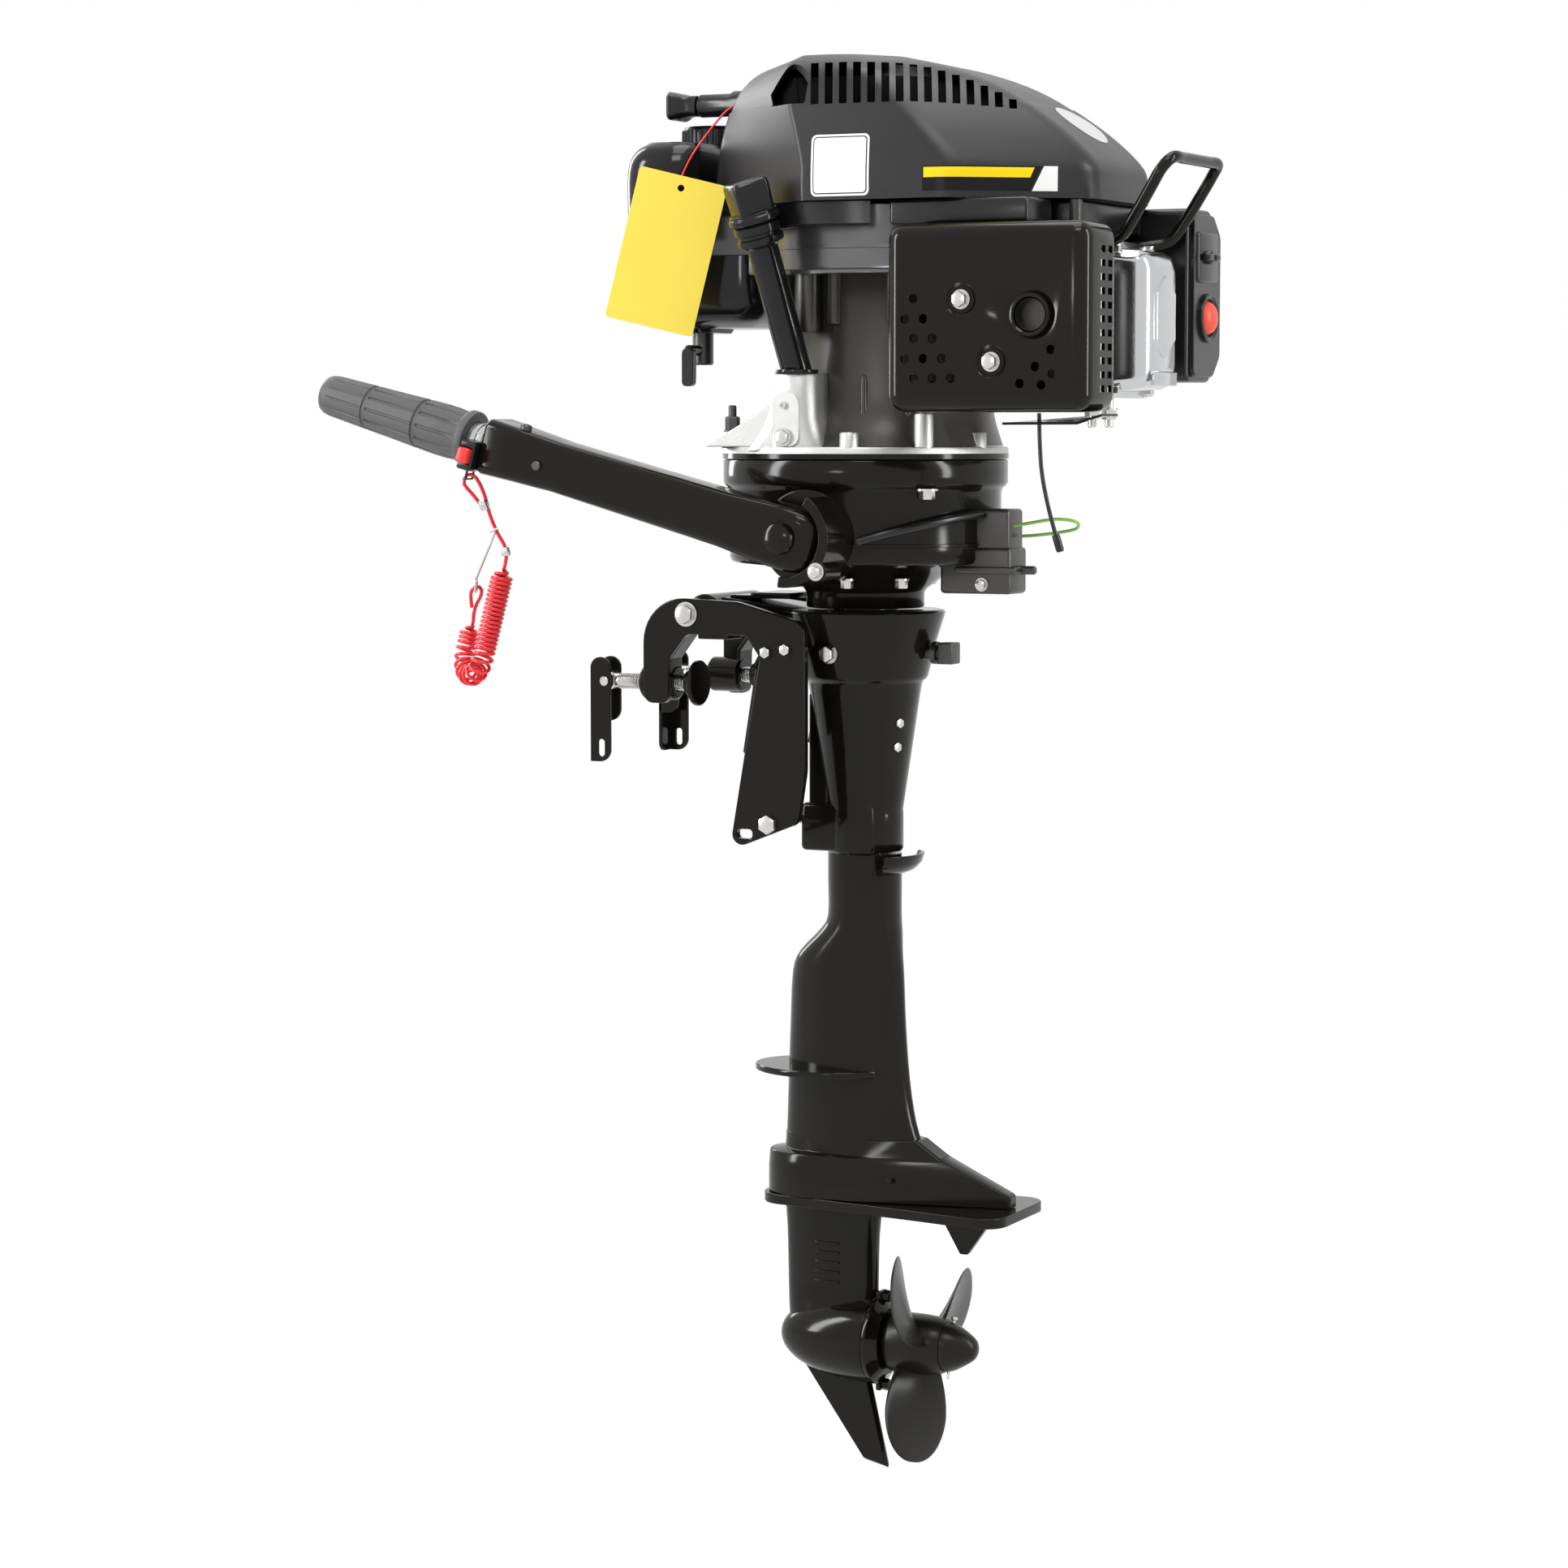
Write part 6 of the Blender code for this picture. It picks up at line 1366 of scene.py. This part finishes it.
def free_cord(name, points, diameter, material, node, stands_for):
    """A round cord along points in millimetres, as a curve in metres, riding on a frame node's body in place
    of the nodes that it stands for.
    """
    line = [Vector(point) * MM for point in points]
    data = bpy.data.curves.new(name, "CURVE")
    data.dimensions = "3D"
    data.bevel_depth = diameter * MM / 2
    data.bevel_resolution = 4
    data.use_fill_caps = True
    spline = data.splines.new("POLY")
    spline.points.add(len(line) - 1)
    for spot, place in zip(spline.points, line):
        spot.co = (*place, 1.0)
    spline.use_smooth = True
    data.materials.append(material)
    cord = bpy.data.objects.new(name, data)
    bpy.context.scene.collection.objects.link(cord)
    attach(cord, body_of[node])
    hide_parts(*stands_for)
    return cord


STRAP_AT = Vector((15.4, 0.0, -32.0)).lerp(Vector((20.0, 0.0, -43.0)), 0.8)
HOOK_SIDE, HOOK_OUT, CLAW_R, HOOK_WIRE = Vector((0.92, 0.0, 0.385)), Vector((0.0, 1.0, 0.0)), 4.0, 1.1
EYE_R, EYE_D, EYE_DEPTH, EYE_Z = 3.0, 5.0, 11.5, -82.5
CRIMPS = (((8.9, 0, -19.5), (11.5, 0, -26.5)), ((25.8, 0, -54.5), (26.9, 0, -60.5)))
eye_turns = [math.radians(70 - 10 * i) for i in range(31)]
claw_turns = [math.radians(-10.5 * i) for i in range(21)]
hook_eye = [hung(EYE_R, EYE_DEPTH + EYE_D * math.cos(a), EYE_Z + EYE_D * math.sin(a)) for a in eye_turns]
hook_claw = [hung(*(STRAP_AT + HOOK_OUT * CLAW_R * math.cos(a) + HOOK_SIDE * CLAW_R * math.sin(a)))
             for a in claw_turns]
stand_in(drawn(tube, list(reversed(hook_eye)) + hook_claw, HOOK_WIRE, 14), "hook_wire", CLAMP, PLATED_STEEL,
         "snap_hook", smooth=50.0)
crimps = bmesh.new()
for start, end in CRIMPS:
    low, high = hung(*start), hung(*end)
    long = (high - low).length
    barrel = [(0.6, 0), (3.1, 0), (3.5, 0.6), (3.5, long - 0.6), (3.1, long), (0.6, long), (0.6, 0)]
    turn_up(crimps, barrel, low, high - low, 24)
crimp_pieces = trim(crimps, "lanyard_crimps", CLAMP, PLATED_STEEL, "lanyard_strap", smooth=40.0)
lanyard_line = [hung(*p) for p in smooth_run(STRAP_RUN, 28) + coil_run() + smooth_run(TAIL_RUN, 17)]
free_cord("lanyard_cord", lanyard_line, CORD_D, CORD_RED, "lanyard_strap",
          ["lanyard_strap", "lanyard_coil", "lanyard_tail"])

# Leads: a black throttle cable into the engine's base, a thin ignition lead down from the muffler guard to
# its cap, and a green earth wire that loops out of the leg and back.

GREEN_WIRE = finish("earth_sheath", (0.19, 0.42, 0.055), 0.34, drift=0.1, depth=0.01)
THROTTLE_RUN = [(38.5, -97.5, 75), (55, -90, 80), (73, -76.5, 85), (88, -58.5, 89.5), (97.5, -41, 92.5),
                (103.6, -23.3, 94.3)]
LEAD_RUN = [(184.8, -110, 167), (185, -110, 158), (185.4, -110, 146), (187, -110, 126), (191, -110, 106),
            (196, -110, 88), (201, -110, 72)]
EARTH_RUN = [(126.4, -15, 86), (139, -16, 88), (159, -15, 91), (172, -8, 89), (169, 0, 84), (155, 2, 81),
             (139, 1, 79), (126.4, 0, 78)]
LEAD_CAP, LEAD_CAP_IN = ((1.5, -2), (2.6, -2), (2.9, 0), (2.9, 9), (2.2, 10.6), (0, 10.6)), 9.0
STRING_RUN = [(-105, -10, 396), (-107, -20, 391), (-111, -38, 376), (-115, -58, 357), (-116.5, -76.5, 336.5)]


def laid(route, count):
    return [STEER @ point for point in smooth_run(route, count)]


lead_cap = bmesh.new()
lead_line = laid(LEAD_RUN, 24)
lead_way = (lead_line[-1] - lead_line[-2]).normalized()
turn_up(lead_cap, LEAD_CAP, lead_line[-1] - lead_way * LEAD_CAP_IN, lead_way, 24)
cap_piece = trim(lead_cap, "lead_cap", CLAMP, BLACK_MOULDING, "ignition_lead", smooth=40.0)
free_cord("throttle_sheath", laid(THROTTLE_RUN, 20), 6.0, BLACK_MOULDING, "throttle_cable",
          ["throttle_cable"])
free_cord("ignition_sheath", lead_line, 3.0, BLACK_MOULDING, "ignition_lead", ["ignition_lead"])
free_cord("earth_sheath", laid(EARTH_RUN, 30), 2.4, GREEN_WIRE, "earth_lead", ["earth_lead"])

# Hang tag: a blank yellow card with a punched hole, on a red string tied behind the starter's guide. The
# string and the card keep the lean that they have in the photograph.

YELLOW_CARD = finish("yellow_card", (0.84, 0.66, 0.07), 0.5, drift=0.06, depth=0.01)
TAG_CENTRE, TAG_LEAN = Vector((-124.0, -82.0, 286.0)), math.radians(13.5)
TAG_HALF, TAG_TALL, TAG_THICK, TAG_HOLE, TAG_CORNER = 33.0, 56.5, 0.6, 2.5, 3.0
TAG_PLACE = STEER @ Matrix.Translation(TAG_CENTRE)
TAG = TAG_PLACE @ Matrix.Rotation(QUARTER, 4, "Z") @ Matrix.Rotation(TAG_LEAN, 4, "Y")
tag = solid(drawn(plate, soft_outline(rectangle(-TAG_HALF, -TAG_TALL, TAG_HALF, TAG_TALL, TAG_CORNER), 6),
                  -TAG_THICK, TAG_THICK), "tag_card", TAG)
dress(carve(tag, drawn(turn_up, rod(TAG_HOLE, -5, 5), (0, 0, TAG_TALL - 9), (0, 1, 0), 24), TAG),
      YELLOW_CARD, "hang_tag", ["hang_tag"], 0.15)
free_cord("tag_cord", laid(STRING_RUN, 20), 1.6, CORD_RED, "tag_string", ["tag_string"])

# Studio: a pale floor under the hanging motor, soft light from two sides and above, and the camera that
# stood off the port quarter at about the height of the engine's base and looks a little down.

CAMERA_AZIMUTH = math.radians(25.0)
CAMERA_DISTANCE, CAMERA_HEIGHT = 3.0, 0.155
FRAME_PIXELS, PIXELS_PER_METRE = 1932.0, 1645.0
AXIS_COLUMN, HORIZON_ROW = 1066.0, 525.0
AIM_COLUMN, AIM_ROW = 966.0, 959.0
SENSOR = 36.0

sideways = Vector((math.cos(CAMERA_AZIMUTH), math.sin(CAMERA_AZIMUTH), 0.0))
away = Vector((-math.sin(CAMERA_AZIMUTH), math.cos(CAMERA_AZIMUTH), 0.0))
leg_axis = Vector((LEG_X * MM, 0.0, CAMERA_HEIGHT))
camera_data = bpy.data.cameras.new("camera")
camera = bpy.data.objects.new("camera", camera_data)
bpy.context.scene.collection.objects.link(camera)
camera.location = leg_axis - away * CAMERA_DISTANCE
centre_of_view = leg_axis + sideways * ((AIM_COLUMN - AXIS_COLUMN) / PIXELS_PER_METRE)
centre_of_view.z += (HORIZON_ROW - AIM_ROW) / PIXELS_PER_METRE
line_of_sight = centre_of_view - camera.location
camera.rotation_euler = line_of_sight.to_track_quat("-Z", "Y").to_euler()
camera_data.sensor_width = SENSOR
camera_data.lens = SENSOR * line_of_sight.length * PIXELS_PER_METRE / FRAME_PIXELS
bpy.context.scene.camera = camera

FLOOR_DROP, FLOOR_REACH = 0.035, 30.0
floor_bm = bmesh.new()
bmesh.ops.create_grid(floor_bm, x_segments=2, y_segments=2, size=FLOOR_REACH)
bmesh.ops.translate(floor_bm, vec=(0.0, 0.0, cad_low[2] - FLOOR_DROP), verts=floor_bm.verts)
floor_mesh = bpy.data.meshes.new("floor")
floor_bm.to_mesh(floor_mesh)
floor_bm.free()
floor = put(floor_mesh, "floor")


def see_white(tree, plain, strength):
    """Mix a shader or background with plain white wherever the camera, a reflection or glass looks at it."""
    nodes, links = tree.nodes, tree.links
    path = nodes.new("ShaderNodeLightPath")
    seen = nodes.new("ShaderNodeMath")
    seen.operation = "MAXIMUM"
    links.new(path.outputs["Is Camera Ray"], seen.inputs[0])
    links.new(path.outputs["Is Glossy Ray"], seen.inputs[1])
    through = nodes.new("ShaderNodeMath")
    through.operation = "MAXIMUM"
    links.new(seen.outputs[0], through.inputs[0])
    links.new(path.outputs["Is Transmission Ray"], through.inputs[1])
    share = nodes.new("ShaderNodeMath")
    share.operation = "MULTIPLY"
    share.inputs[1].default_value = strength
    links.new(through.outputs[0], share.inputs[0])
    mix = nodes.new("ShaderNodeMixShader")
    links.new(share.outputs[0], mix.inputs[0])
    links.new(plain, mix.inputs[1])
    return mix


FLOOR_WHITE, FLOOR_GLOW = 0.9, 1.06
pale = bpy.data.materials.new("pale_floor")
pale.use_nodes = True
pale_shader = pale.node_tree.nodes["Principled BSDF"]
pale_shader.inputs["Base Color"].default_value = (0.9, 0.9, 0.89, 1.0)
pale_shader.inputs["Roughness"].default_value = 0.85
pale_glow = pale.node_tree.nodes.new("ShaderNodeEmission")
pale_glow.inputs["Strength"].default_value = FLOOR_GLOW
pale_mix = see_white(pale.node_tree, pale_shader.outputs[0], FLOOR_WHITE)
pale.node_tree.links.new(pale_glow.outputs[0], pale_mix.inputs[2])
pale.node_tree.links.new(pale_mix.outputs[0], pale.node_tree.nodes["Material Output"].inputs["Surface"])
floor_mesh.materials.append(pale)

ROOM_LIGHT = 0.55
world = bpy.data.worlds.new("studio")
bpy.context.scene.world = world
world.use_nodes = True
world_tree = world.node_tree
room = world_tree.nodes["Background"]
room.inputs["Strength"].default_value = ROOM_LIGHT
backdrop = world_tree.nodes.new("ShaderNodeBackground")
world_mix = see_white(world_tree, room.outputs[0], 1.0)
world_tree.links.new(backdrop.outputs[0], world_mix.inputs[2])
world_tree.links.new(world_mix.outputs[0], world_tree.nodes["World Output"].inputs["Surface"])
for plain in (room, backdrop):
    plain.inputs["Color"].default_value = (1.0, 1.0, 1.0, 1.0)

LAMPS = (("key_strip", -1.95, -0.45, 0.55, 0.32, 1.7, 36.0),
         ("side_strip", 1.75, -0.75, 0.5, 0.24, 1.8, 26.0),
         ("front_fill", 0.1, -1.7, 2.1, 1.2, 0.8, 22.0),
         ("top_softbox", 0.1, 0.0, 1.7, 1.4, 0.9, 16.0),
         ("rim_strip", -1.1, 1.2, 0.6, 0.3, 1.6, 12.0),
         ("low_card", -0.78, -1.84, 0.25, 0.3, 0.12, 2.0))
for lamp_name, aside, toward, lift, width, height, power in LAMPS:
    lamp_data = bpy.data.lights.new(lamp_name, "AREA")
    lamp_data.shape = "RECTANGLE"
    lamp_data.size = width
    lamp_data.size_y = height
    lamp_data.energy = power
    lamp = bpy.data.objects.new(lamp_name, lamp_data)
    bpy.context.scene.collection.objects.link(lamp)
    lamp.location = leg_axis + sideways * aside + away * toward + Vector((0.0, 0.0, lift))
    aim = Vector((LEG_X * MM, 0.0, 0.0)) - lamp.location
    lamp.rotation_euler = aim.to_track_quat("-Z", "Y").to_euler()

bpy.context.scene.view_settings.view_transform = "Standard"
